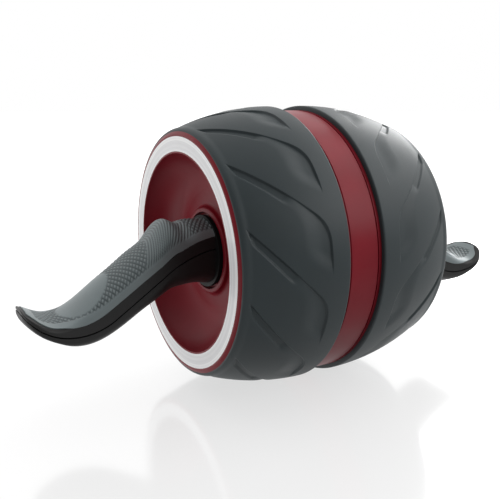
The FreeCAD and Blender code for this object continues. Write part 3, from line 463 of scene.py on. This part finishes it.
def finishes():
    """Every finish by the name of its slot in the record."""
    colours = bpy.context.scene.roller_colours
    return {
        "tread_rubber": moulded_finish(
            "tread_rubber", colours.tread,
            roughness=0.50, specular=0.32, grain_scale=2600.0, grain_strength=0.12),
        "grip_rubber": hatch_shaded_finish(
            "grip_rubber", colours.grip, colours.hatch,
            roughness=0.42, specular=0.45, grain_scale=3200.0, grain_strength=0.10),
        "drum_red": moulded_finish(
            "drum_red", colours.drum,
            roughness=0.36, specular=0.15, grain_scale=1600.0, grain_strength=0.03, uneven=0.015),
        "trim_silver": brushed_finish(
            "trim_silver", colours.trim, colours.trim_border, roughness=0.36, specular=0.5, coat=0.4),
        "shell_black": moulded_finish(
            "shell_black", colours.shell,
            roughness=0.45, specular=0.22, grain_scale=3600.0, grain_strength=0.08),
        "arbor_black": moulded_finish(
            "arbor_black", colours.collar,
            roughness=0.55, specular=0.2, grain_scale=2400.0, grain_strength=0.08),
        "bush_nylon": moulded_finish(
            "bush_nylon", colours.nylon,
            roughness=0.42, specular=0.5, grain_scale=1500.0, grain_strength=0.05),
        "axle_steel": turned_metal("axle_steel", colours.steel, roughness=0.28),
        "spring_steel": turned_metal("spring_steel", colours.spring, roughness=0.34),
        "fastener_steel": turned_metal("fastener_steel", colours.steel, roughness=0.36),
    }


def slot_finish(slot):
    """The finish of a slot, made with all the others the first time one is asked for."""
    made = {
        material["roller_finish"]: material
        for material in bpy.data.materials if "roller_finish" in material}
    if not made:
        made = finishes()
        for name, material in made.items():
            material["roller_finish"] = name
    return made[slot]


def dress(nodes, slot):
    """Gives CAD nodes the finish of a slot."""
    for node in nodes:
        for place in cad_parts[node].material_slots:
            place.material = slot_finish(slot)


def both(name):
    """The right-hand and left-hand nodes of a piece."""
    return [f"{side}_{name}" for side in SIDES]


def make_mesh_object(name, bm, finish):
    """A new object that holds a finished bmesh, smooth but for its sharp edges."""
    bmesh.ops.recalc_face_normals(bm, faces=bm.faces)
    for face in bm.faces:
        face.smooth = True
    mesh = bpy.data.meshes.new(name)
    bm.to_mesh(mesh)
    bm.free()
    mesh.set_sharp_from_angle(angle=SHARP_ANGLE)
    mesh.materials.append(finish)
    piece = bpy.data.objects.new(name, mesh)
    bpy.context.scene.collection.objects.link(piece)
    return piece


def boundary_of(bm):
    """The open edges of a bmesh."""
    return [edge for edge in bm.edges if edge.is_boundary]


def ease(value, start, end):
    """Rises smoothly from 0 at start to 1 at end."""
    share = np.clip((value - start) / (end - start), 0.0, 1.0)
    return share * share * (3.0 - 2.0 * share)


# Treads

def bend_points(start, end, radius):
    """Points on a bend between two corners whose centre lies on the side of the rim."""
    chord = end - start
    length = np.linalg.norm(chord)
    towards_rim = np.array((-chord[1], chord[0])) * math.copysign(1.0, chord[0]) / length
    centre = (start + end) / 2 + towards_rim * math.sqrt(radius ** 2 - (length / 2) ** 2)
    first, last = (math.atan2(*(corner - centre)[::-1]) for corner in (start, end))
    angles = np.linspace(first, last, BEND_STEPS)
    return centre + radius * np.stack([np.cos(angles), np.sin(angles)], axis=1)


def distance_to(line, across, along):
    """Distance of points from a line of straight runs."""
    nearest = np.full(across.shape, np.inf)
    for start, end in zip(line[:-1], line[1:]):
        run = end - start
        share = ((across - start[0]) * run[0] + (along - start[1]) * run[1]) / (run @ run)
        share = np.clip(share, 0.0, 1.0)
        gap = np.hypot(across - start[0] - share * run[0], along - start[1] - share * run[1])
        nearest = np.minimum(nearest, gap)
    return nearest


def is_inside(outline, across, along):
    """Which points lie inside a closed outline."""
    inside = np.zeros(across.shape, dtype=bool)
    for start, end in zip(outline, np.roll(outline, -1, axis=0)):
        if start[1] == end[1]:
            continue
        spans = (start[1] > along) != (end[1] > along)
        slope = (end[0] - start[0]) / (end[1] - start[1])
        inside ^= spans & (across < start[0] + (along - start[1]) * slope)
    return inside


def rounding(run, radius):
    """How much a quarter-round edge takes off at a run from the edge."""
    short = np.clip(radius - run, 0.0, radius)
    return radius - np.sqrt(radius ** 2 - short ** 2)


class TreadForm:
    """The crown and the grooves of a tread, in the axes of the right-hand one."""

    def __init__(self, sizes):
        low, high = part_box("right_tread")
        self.sizes = sizes
        self.radius = high.x
        self.start = low.y
        self.width = high.y - low.y
        self.end = high.y
        self.lip_end = high.y + sizes.lip_reach
        drop = sizes.crown_drop
        self.crown_arc = (self.width ** 2 + drop ** 2) / (2 * drop)
        names = ("tail", "shoulder", "heel", "tip")
        tail, shoulder, heel, tip = (self.corner(getattr(sizes, f"groove_{name}")) for name in names)
        inner = bend_points(
            self.corner(sizes.inner_bend_start), self.corner(sizes.inner_bend_end), sizes.bend_radius)
        outer = bend_points(
            self.corner(sizes.outer_bend_start), self.corner(sizes.outer_bend_end), sizes.bend_radius)
        self.tail, self.heel = tail, heel
        self.slant_start = outer[-1]
        self.hook_place = outer[0][1]
        self.ramp_end = heel[1] + RAMP_SHARE * (tail[1] - heel[1])
        self.inner_line = np.vstack([tail, shoulder, inner, heel])
        self.end_line = np.vstack([heel, tip])
        self.outer_line = np.vstack([tip, outer, tail])
        self.outline = np.vstack([self.inner_line, tip, outer])

    def corner(self, shares):
        """A groove corner in metres round the tread and along the axle."""
        return np.array((self.radius * shares[0], self.start + self.width * shares[1]))

    def crown(self, along):
        """Radius of the plain tread and its lip at places along the axle."""
        sizes = self.sizes
        run = np.minimum(along, self.end) - self.start
        sag = self.crown_arc - np.sqrt(self.crown_arc ** 2 - run ** 2)
        lean = self.width / self.crown_arc
        past = np.clip(along, self.end, self.lip_end) - self.end
        reach = sizes.rim_round * lean + past
        fall = sizes.rim_round * math.sqrt(1.0 - lean ** 2) - np.sqrt(sizes.rim_round ** 2 - reach ** 2)
        lift = sizes.lip_height * ease(along, self.end - LIP_RUN, self.end)
        band_end = rounding(along - self.start, sizes.edge_round)
        rim_end = rounding(self.lip_end - along, sizes.lip_round)
        return self.radius - sag - fall + lift - (band_end + rim_end)

    def row_places(self):
        """Places of the rows along the axle, closer together at the edge and at the hooks."""
        along = np.linspace(self.start, self.lip_end, FINE_STEPS)
        crowd = sum(
            np.exp(-((along - place) / CROWD_REACH) ** 2)
            for place in (self.start, self.hook_place, self.lip_end))
        count = np.cumsum(1.0 + ROW_CROWD * crowd)
        wanted = np.linspace(count[0], count[-1], self.sizes.rows + 1)
        return np.interp(wanted, count, along)

    def slant(self, along):
        """Angle of the grooves' long steep side at places along the axle."""
        slope = (self.tail[0] - self.slant_start[0]) / (self.tail[1] - self.slant_start[1])
        across = self.slant_start[0] + (along - self.slant_start[1]) * slope
        return np.arcsin(across / self.crown(along))

    def groove_depth(self, angle, along):
        """Depth of one groove at angles from its middle and places along the axle."""
        sizes = self.sizes
        across = self.crown(along) * np.sin(angle)
        tail_share = ease(along, self.heel[1], self.ramp_end)
        tail_ramp, hook_ramp = sizes.inner_ramp
        ramp = hook_ramp + (tail_ramp - hook_ramp) * tail_share
        wall = ease(distance_to(self.outer_line, across, along), 0.0, sizes.outer_wall)
        slope = ease(distance_to(self.inner_line, across, along), 0.0, ramp)
        end = ease(distance_to(self.end_line, across, along), 0.0, sizes.heel_ramp)
        return sizes.groove_depth * wall * slope * end * is_inside(self.outline, across, along)


def spin_tread(form):
    """A plain crowned ring with a thin lip: a section of six edges, divided, bent and spun."""
    sizes = form.sizes
    places = form.row_places()
    bm = bmesh.new()
    # The section is first drawn flat, on three levels that stand for depths below the crown.
    depths = {0.0: 0.0, 1.0: sizes.lip_height + sizes.lip_sink, 2.0: sizes.thickness}
    crown_level, lip_level, bed_level = depths
    end_row = np.interp(form.end, places, range(sizes.rows + 1)) / sizes.rows
    corners = [bm.verts.new((0.0, row, level)) for row, level in (
        (0.0, crown_level), (1.0, crown_level), (1.0, lip_level), (end_row, lip_level),
        (end_row, bed_level), (0.0, bed_level))]
    edges = [bm.edges.new((start, end)) for start, end in zip(corners, corners[1:] + corners[:1])]
    bmesh.ops.bisect_edges(bm, edges=[edges[0]], cuts=sizes.rows - 1)
    bmesh.ops.bisect_edges(bm, edges=[edges[2]], cuts=LIP_STEPS - 1)
    bmesh.ops.bisect_edges(bm, edges=[edges[4]], cuts=BED_STEPS - 1)
    for vert in bm.verts:
        along = np.interp(vert.co.y * sizes.rows, range(sizes.rows + 1), places)
        vert.co = (0.0, along, form.crown(along) - depths[vert.co.z])
    axle = {"cent": (0.0, 0.0, 0.0), "axis": (0.0, 1.0, 0.0)}
    sector = 2 * math.pi / sizes.grooves
    bmesh.ops.spin(
        bm, geom=[*bm.verts, *bm.edges], angle=sector, steps=sizes.steps_per_groove, **axle)
    bmesh.ops.spin(
        bm, geom=[*bm.verts, *bm.edges, *bm.faces], angle=2 * math.pi - sector,
        steps=sizes.grooves - 1, use_duplicate=True, **axle)
    bmesh.ops.remove_doubles(bm, verts=bm.verts, dist=MERGE_DISTANCE)
    return bm


def carve_tread(bm, form):
    """Turns the columns to follow the grooves' long sides, then sinks the grooves into the crown."""
    sizes = form.sizes
    sector = 2 * math.pi / sizes.grooves
    points = np.array([vert.co for vert in bm.verts])
    along = points[:, 1]
    radius = np.hypot(points[:, 0], points[:, 2])
    turn = np.arctan2(points[:, 0], points[:, 2])
    turn = turn - COLUMN_CROWD * sector / (2 * math.pi) * np.sin(turn * sizes.grooves)
    turn = turn + form.slant(along)
    from_groove = (turn + sector / 2) % sector - sector / 2
    depth = np.max([form.groove_depth(from_groove + step * sector, along) for step in (-1, 0, 1)], axis=0)
    on_crown = radius > form.crown(along) - sizes.thickness / 2
    radius = radius - depth * on_crown
    turn = turn + sizes.groove_turn
    points = np.stack([radius * np.sin(turn), along, radius * np.cos(turn)], axis=1)
    for vert, point in zip(bm.verts, points):
        vert.co = point


def build_tread(side, sizes):
    """A tread whose hooked grooves have a steep wall on one side and a soft ramp on the other."""
    form = TreadForm(sizes)
    bm = spin_tread(form)
    carve_tread(bm, form)
    if side == "left":
        bmesh.ops.scale(bm, vec=(1.0, -1.0, 1.0), verts=bm.verts)
    tread = make_mesh_object(f"{side}_grooved_tread", bm, slot_finish("tread_rubber"))
    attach(tread, "wheel")
    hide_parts(f"{side}_tread")


# Grips

def even_spacing(points, steps):
    """Points at even distances along a polyline, and their distances from its start."""
    runs = np.linalg.norm(np.diff(points, axis=0), axis=1)
    length = np.concatenate(([0.0], np.cumsum(runs)))
    wanted = np.linspace(0.0, length[-1], steps + 1)
    return np.stack([np.interp(wanted, length, points[:, axis]) for axis in range(3)], axis=1), wanted


def rough_edge(is_hit, hit, missed):
    """The value nearest to missed at which a ray still hits."""
    for _ in range(BORDER_SEARCH_STEPS):
        middle = (hit + missed) / 2
        if is_hit(middle):
            hit = middle
        else:
            missed = middle
    return hit


class GripSkin:
    """The surfaces that a grip is read from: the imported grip, and the shell whose bill it covers."""

    def __init__(self, side, sizes):
        self.sizes = sizes
        self.grip = self.surface([f"{side}_grip"])
        self.shell = self.surface([f"{side}_upper_shell"])
        self.both = self.surface([f"{side}_grip", f"{side}_upper_shell"])
        self.outward = 1.0 if side == "right" else -1.0
        low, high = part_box(f"{side}_upper_shell")
        self.root, tip = sorted((low.y, high.y), key=abs)
        self.end = tip - self.outward * sizes.bill_margin[1]

    def surface(self, nodes):
        """A surface to cast rays at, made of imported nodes."""
        bm = bmesh.new()
        for node in nodes:
            bm.from_object(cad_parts[node], bpy.context.evaluated_depsgraph_get())
        surface = BVHTree.FromBMesh(bm)
        bm.free()
        return surface

    def bill_edge(self, place):
        """The grip's border on the bill: a margin inside the shell's own edge, on its top."""
        side_margin, tip_margin = self.sizes.bill_margin
        ahead = place + self.outward * tip_margin

        def is_shell(width):
            return self.shell.ray_cast(Vector((width, ahead, CAST_REACH)), DOWN)[0] is not None

        width = rough_edge(is_shell, 0.0, CAST_WIDTH) - side_margin
        return self.both.ray_cast(Vector((max(width, 0.0), place, CAST_REACH)), DOWN)[0]

    def centre(self, place):
        """The point that a section's rays aim at."""
        top = self.both.ray_cast(Vector((0.0, place, CAST_REACH)), DOWN)[0]
        return Vector((0.0, place, top.z - CAST_DROP))

    def outermost(self, surface, centre, angle):
        """The outermost point of a surface in a direction from a section's centre."""
        outwards = Vector((math.cos(angle), 0.0, math.sin(angle)))
        return surface.ray_cast(centre + outwards * CAST_REACH, -outwards, CAST_REACH)[0]

    def border(self, place):
        """The angle of the grip's border at a place along the axle, and whether it lies on the shell."""
        centre = self.centre(place)

        def is_grip(angle):
            return self.outermost(self.grip, centre, angle) is not None

        edge = self.bill_edge(place) - centre
        bill_border = math.atan2(edge.z, edge.x)
        return rough_edge(is_grip, bill_border, 0.0), not is_grip(bill_border)

    def section(self, place, border, steps):
        """Even points across the skin at a place along the axle, from border to border."""
        centre = self.centre(place)
        fan = np.linspace(border, math.pi - border, CAST_FAN)
        points = np.array([self.outermost(self.both, centre, angle) for angle in fan])
        return even_spacing(points, steps)


def smoothed(values):
    """Values in a row, each taken as the mean of its neighbours."""
    reach = BORDER_SMOOTH // 2
    kernel = np.full(BORDER_SMOOTH, 1.0 / BORDER_SMOOTH)
    return np.convolve(np.pad(values, reach, mode="edge"), kernel, mode="valid")


def read_grip(side, sizes):
    """A grip's skin as rows of points, distances along and across it, and how far it is on the bill."""
    skin = GripSkin(side, sizes)
    inset = CAST_INSET * skin.outward
    places = np.linspace(skin.root + inset, skin.end - inset, sizes.steps_along + 1)
    borders, on_bill = (np.array(values) for values in zip(*map(skin.border, places)))
    rows = []
    across = []
    for place, border in zip(places, smoothed(borders)):
        points, distance = skin.section(place, border, sizes.steps_across)
        rows.append(points)
        across.append(distance - distance[-1] / 2)
    rows = np.array(rows)
    crest = rows[:, sizes.steps_across // 2]
    runs = np.linalg.norm(np.diff(crest, axis=0), axis=1)
    along = np.concatenate(([0.0], np.cumsum(runs)))[:, None]
    bill_start = along[on_bill].min()
    on_bill = ease(along, bill_start - BILL_RUN, bill_start)
    return rows, np.repeat(along, sizes.steps_across + 1, axis=1), np.array(across), on_bill


def hatch_cut(distance, pitch):
    """How deep a hatch line cuts, from 0 between two lines to 1 on one."""
    return (0.5 + 0.5 * np.cos(2.0 * math.pi * distance / pitch)) ** 2


def hatch_depth(along, across, sizes):
    """How far the hatching sinks the skin: diamonds, plain lines on the hump, none on the palm patch."""
    lean = across * math.cos(sizes.hatch_angle)
    run = along * math.sin(sizes.hatch_angle)
    diamonds = np.maximum(hatch_cut(run + lean, sizes.hatch_pitch), hatch_cut(run - lean, sizes.hatch_pitch))
    down = np.hypot(across, sizes.hump_crest) - sizes.hump_crest
    swept = along - down * math.tan(sizes.hump_slant)
    lines = hatch_cut(swept * math.cos(sizes.hump_slant), sizes.hump_pitch)
    start, end = sizes.hump_span
    fade = sizes.blend_width
    on_hump = ease(along, start - fade, start + fade) * (1.0 - ease(swept, end - fade, end + fade))
    pattern = diamonds * (1.0 - on_hump) + lines * on_hump
    reach_along, reach_across = sizes.palm_reach
    oval = np.hypot((along - sizes.palm_place) / reach_along, across / reach_across)
    off_palm = ease(oval, 1.0, 1.0 + fade / reach_across)
    to_border = np.minimum(across.max(axis=1, keepdims=True) - np.abs(across), along.max() - along)
    off_border = ease(to_border, sizes.border_strip, sizes.border_strip + fade)
    return sizes.hatch_depth * pattern * off_palm * off_border


def outward_normals(rows):
    """Unit normals of rows of points, pointing away from the grip's core."""
    normals = np.cross(np.gradient(rows, axis=0), np.gradient(rows, axis=1))
    normals /= np.linalg.norm(normals, axis=2, keepdims=True)
    middle = rows.shape[1] // 2
    upward = np.sign(normals[:, middle, 2]).mean()
    return normals * math.copysign(1.0, upward)


def build_grip(side, sizes):
    """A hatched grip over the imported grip's own skin and the shell's bill, with a wall below it."""
    rows, along, across, on_bill = read_grip(side, sizes)
    depth = hatch_depth(along, across, sizes)
    normals = outward_normals(rows)
    skin = rows + normals * (sizes.bill_lip * on_bill - depth)[:, :, None]
    wall = sizes.wall + (sizes.bill_sink - sizes.wall) * on_bill
    bed = rows - normals * wall[:, :, None]
    rows = np.concatenate([skin, bed[:, ::-1]], axis=1)
    depth = np.concatenate([depth, np.zeros_like(depth)], axis=1)
    columns = rows.shape[1]
    bm = bmesh.new()
    # Each point keeps its hatch depth as a share, which the grip's finish turns into painted shade in the
    # grooves.
    groove_shade_layer = bm.verts.layers.float.new("hatch")
    bmesh.ops.create_grid(bm, x_segments=sizes.steps_along, y_segments=columns, size=1.0)
    for vert in bm.verts:
        row = round((vert.co.x + 1.0) / 2.0 * sizes.steps_along)
        column = round((vert.co.y + 1.0) / 2.0 * columns) % columns
        vert.co = rows[row, column]
        vert[groove_shade_layer] = depth[row, column] / sizes.hatch_depth
    bmesh.ops.remove_doubles(bm, verts=bm.verts, dist=MERGE_DISTANCE)
    bmesh.ops.holes_fill(bm, edges=boundary_of(bm), sides=0)
    grip = make_mesh_object(f"{side}_hatched_grip", bm, slot_finish("grip_rubber"))
    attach(grip, "handles")
    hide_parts(f"{side}_grip")


# Power spring

def verts_in(geom):
    """The vertices among the geometry that an operator made."""
    return [part for part in geom if isinstance(part, bmesh.types.BMVert)]


def build_spring_coil(sizes):
    """The coil and its outer tab, which turn with the cup: half turns about two centres."""
    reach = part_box("power_spring")[1]
    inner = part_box("spring_arbor")[1].x + sizes.thickness
    outer = reach.x - sizes.tab_length
    pitch = (outer - inner) / sizes.turns
    bm = bmesh.new()
    bmesh.ops.create_grid(bm, x_segments=1, y_segments=1, size=0.5)
    bmesh.ops.delete(bm, geom=bm.faces[:], context="FACES_ONLY")
    bmesh.ops.scale(bm, vec=(sizes.thickness, 2 * reach.y, 1.0), verts=bm.verts)
    bmesh.ops.translate(bm, vec=(inner + sizes.thickness / 2, 0.0, 0.0), verts=bm.verts)
    section = [*bm.verts, *bm.edges]
    end_turn = math.asin(sizes.thickness / 2 / outer)
    for half_turn in range(2 * sizes.turns):
        is_last = half_turn == 2 * sizes.turns - 1
        section = bmesh.ops.spin(
            bm, geom=section, cent=(half_turn % 2 * pitch / 2, 0.0, 0.0), axis=(0.0, -1.0, 0.0),
            angle=math.pi - end_turn * is_last, steps=COIL_STEPS)["geom_last"]
    rim = [part for part in section if isinstance(part, bmesh.types.BMEdge)]
    end = bmesh.ops.extrude_edge_only(bm, edges=rim)["geom"]
    bmesh.ops.translate(bm, vec=(0.0, 0.0, sizes.thickness), verts=verts_in(end))
    bmesh.ops.holes_fill(bm, edges=boundary_of(bm), sides=4)
    bend = max(bm.faces, key=lambda face: face.calc_center_median().x)
    tab = bmesh.ops.extrude_face_region(bm, geom=[bend])["geom"]
    bmesh.ops.delete(bm, geom=[bend], context="FACES_ONLY")
    bmesh.ops.translate(
        bm, vec=(sizes.tab_length - sizes.thickness, 0.0, 0.0), verts=verts_in(tab))
    coil = make_mesh_object("power_spring_coil", bm, slot_finish("spring_steel"))
    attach(coil, "wheel")
    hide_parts("power_spring")


def build_spring_tab(sizes):
    """The inner tab, which stays in the arbor's slot."""
    width = 2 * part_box("power_spring")[1].y
    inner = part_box("spring_arbor")[1].x + sizes.thickness
    length = sizes.tab_length - sizes.tab_gap
    bm = bmesh.new()
    bmesh.ops.create_cube(bm, size=1.0)
    bmesh.ops.scale(bm, vec=(length, width, sizes.thickness), verts=bm.verts)
    bmesh.ops.translate(bm, vec=(inner - sizes.tab_length + length / 2, 0.0, 0.0), verts=bm.verts)
    bmesh.ops.bevel(
        bm, geom=bm.edges[:], offset=TAB_ROUND, segments=2, profile=0.5, affect="EDGES", material=-1)
    tab = make_mesh_object("power_spring_tab", bm, slot_finish("spring_steel"))
    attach(tab, "handles")


# Operators

class RollerDressWheel(bpy.types.Operator):
    """Gives the drum, its band and the trim rings their finishes"""

    bl_idname = "roller.dress_wheel"
    bl_label = "Dress wheel"

    def execute(self, context):
        dress([*both("drum_half"), "centre_band"], "drum_red")
        dress(both("trim_ring"), "trim_silver")
        return {"FINISHED"}


class RollerBuildTreads(bpy.types.Operator):
    """Builds the treads with soft-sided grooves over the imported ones"""

    bl_idname = "roller.build_treads"
    bl_label = "Build treads"

    def execute(self, context):
        for side in SIDES:
            build_tread(side, context.scene.roller_tread)
        return {"FINISHED"}


class RollerDressHandles(bpy.types.Operator):
    """Gives the handle shells, collars and screws their finishes"""

    bl_idname = "roller.dress_handles"
    bl_label = "Dress handles"

    def execute(self, context):
        dress([*both("upper_shell"), *both("lower_shell")], "shell_black")
        dress(both("root_collar"), "arbor_black")
        dress([*both("axle_bolt"), *both("shell_screws")], "fastener_steel")
        return {"FINISHED"}


class RollerBuildGrips(bpy.types.Operator):
    """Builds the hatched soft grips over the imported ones"""

    bl_idname = "roller.build_grips"
    bl_label = "Build grips"

    def execute(self, context):
        for side in SIDES:
            build_grip(side, context.scene.roller_grip)
        return {"FINISHED"}


class RollerBuildSpring(bpy.types.Operator):
    """Builds the power spring, split where it is tied to the arbor"""

    bl_idname = "roller.build_spring"
    bl_label = "Build spring"

    def execute(self, context):
        build_spring_coil(context.scene.roller_spring)
        build_spring_tab(context.scene.roller_spring)
        return {"FINISHED"}


class RollerDressWorks(bpy.types.Operator):
    """Gives the axle, the bearings and what holds the power spring their finishes"""

    bl_idname = "roller.dress_works"
    bl_label = "Dress works"

    def execute(self, context):
        dress(["axle", *both("thrust_washer")], "axle_steel")
        dress([*both("hub_bush"), "spring_cup", "spring_cover"], "bush_nylon")
        dress(["spring_arbor"], "arbor_black")
        dress(both("retaining_ring"), "spring_steel")
        dress(["arbor_pin", "drum_screws", "cover_screws"], "fastener_steel")
        return {"FINISHED"}


# Stage

def add_softbox(name, place, size, power):
    """A large soft light at a place that looks at the middle of the axle."""
    light = bpy.data.lights.new(name, "AREA")
    light.shape = "RECTANGLE"
    light.size, light.size_y = size
    light.energy = power
    holder = bpy.data.objects.new(name, light)
    holder.location = place
    holder.rotation_euler = (-Vector(place)).to_track_quat("-Z", "Y").to_euler()
    bpy.context.scene.collection.objects.link(holder)


class RollerSetStage(bpy.types.Operator):
    """Lays the floor, hangs the lights and sets up the camera"""

    bl_idname = "roller.set_stage"
    bl_label = "Set stage"

    def execute(self, context):
        self.lay_floor(context.scene)
        self.hang_lights(context.scene)
        self.set_camera(context.scene)
        return {"FINISHED"}

    def lay_floor(self, scene):
        """A wide pale disc under the wheel."""
        bm = bmesh.new()
        bmesh.ops.create_circle(
            bm, cap_ends=True, segments=FLOOR_SEGMENTS, radius=scene.roller_stage.floor_radius)
        bmesh.ops.translate(bm, verts=bm.verts, vec=(0.0, 0.0, CAD_BOX[0].z))
        mesh = bpy.data.meshes.new("floor")
        bm.to_mesh(mesh)
        bm.free()
        floor = bpy.data.objects.new("floor", mesh)
        scene.collection.objects.link(floor)
        material, shader = new_finish("studio_floor", roughness=0.12, specular=0.85)
        tree = material.node_tree
        cloud = add_noise(tree, FLOOR_CLOUD_SCALE, FLOOR_CLOUD_DETAIL)
        vary_colour(tree, shader, cloud, scene.roller_colours.floor, FLOOR_CLOUD_SPREAD)
        shader.inputs["Emission Color"].default_value = WHITE
        shader.inputs["Emission Strength"].default_value = scene.roller_stage.floor_glow
        mesh.materials.append(material)
        floor.visible_diffuse = False
        floor.visible_shadow = False

    def add_gradient(self, tree, direction, span, brightness):
        """A brightness of the surround that grows smoothly towards a direction."""
        ray = add_node(tree, "TexCoord", {}).outputs["Generated"]
        towards = add_node(tree, "VectorMath", {0: ray, 1: direction}, operation="DOT_PRODUCT")
        ends = zip(("From Min", "From Max", "To Min", "To Max"), (*span, *brightness))
        inputs = {"Value": towards.outputs["Value"], **dict(ends)}
        return add_node(tree, "MapRange", inputs, interpolation_type="SMOOTHSTEP").outputs["Result"]

    def hang_lights(self, scene):
        """A white backdrop, a surround that is brighter on one side, and four large soft boxes."""
        stage = scene.roller_stage
        world = bpy.data.worlds.new("studio")
        world.use_nodes = True
        tree = world.node_tree
        side = self.add_gradient(tree, stage.bright_side, BRIGHT_SPAN, stage.surround)
        height = self.add_gradient(tree, (0.0, 0.0, 1.0), BELOW_SPAN, (stage.below, 1.0))
        strength = add_node(tree, "Math", {0: side, 1: height}, operation="MULTIPLY")
        surround = tree.nodes["Background"]
        surround.inputs["Color"].default_value = WHITE
        tree.links.new(strength.outputs["Value"], surround.inputs["Strength"])
        backdrop = add_node(tree, "Background", {"Color": WHITE})
        path = add_node(tree, "LightPath", {})
        choice = add_node(tree, "MixShader", {
            "Fac": path.outputs["Is Camera Ray"],
            1: surround.outputs["Background"],
            2: backdrop.outputs["Background"]})
        tree.links.new(choice.outputs["Shader"], tree.nodes["World Output"].inputs["Surface"])
        scene.world = world
        for name, size in SOFTBOX_SIZES.items():
            place, power = (getattr(stage, f"{name}_{setting}") for setting in ("place", "power"))
            add_softbox(f"{name}_box", place, size, power)
        scene.view_settings.view_transform = "Standard"

    def set_camera(self, scene):
        """The photograph's view."""
        lens = bpy.data.cameras.new("camera")
        lens.lens = scene.roller_stage.camera_lens
        lens.sensor_width = SENSOR_WIDTH
        lens.clip_start = CLIP_START
        camera = bpy.data.objects.new("camera", lens)
        camera.location = scene.roller_stage.camera_place
        aim = Vector(scene.roller_stage.camera_aim)
        camera.rotation_euler = aim.to_track_quat("-Z", "Y").to_euler()
        scene.collection.objects.link(camera)
        scene.camera = camera


# Add-on

class RollerPanel(bpy.types.Panel):
    """Lists the roller's operators"""

    bl_idname = "VIEW3D_PT_roller"
    bl_label = "Ab wheel roller"
    bl_space_type = "VIEW_3D"
    bl_region_type = "UI"
    bl_category = "Roller"

    def draw(self, context):
        for operator in OPERATORS:
            self.layout.operator(operator.bl_idname)


OPERATORS = (
    RollerDressWheel, RollerBuildTreads, RollerDressHandles, RollerBuildGrips, RollerDressWorks,
    RollerBuildSpring, RollerSetStage,
)
SETTINGS = {
    "roller_tread": RollerTreadSizes,
    "roller_grip": RollerGripSizes,
    "roller_spring": RollerSpringSizes,
    "roller_colours": RollerColours,
    "roller_stage": RollerStageSizes,
}


def register():
    """Registers the settings, the operators and the panel."""
    for settings in SETTINGS.values():
        bpy.utils.register_class(settings)
    for name, settings in SETTINGS.items():
        setattr(bpy.types.Scene, name, PointerProperty(type=settings))
    for cls in (*OPERATORS, RollerPanel):
        bpy.utils.register_class(cls)


def unregister():
    """Takes the panel, the operators and the settings out again."""
    for cls in (RollerPanel, *reversed(OPERATORS)):
        bpy.utils.unregister_class(cls)
    for name, settings in SETTINGS.items():
        delattr(bpy.types.Scene, name)
        bpy.utils.unregister_class(settings)


def main():
    """Registers the add-on, dresses every piece and sets up the stage."""
    register()
    bpy.ops.roller.dress_wheel()
    bpy.ops.roller.build_treads()
    bpy.ops.roller.dress_handles()
    bpy.ops.roller.build_grips()
    bpy.ops.roller.dress_works()
    bpy.ops.roller.build_spring()
    bpy.ops.roller.set_stage()


if __name__ == "__main__":
    main()
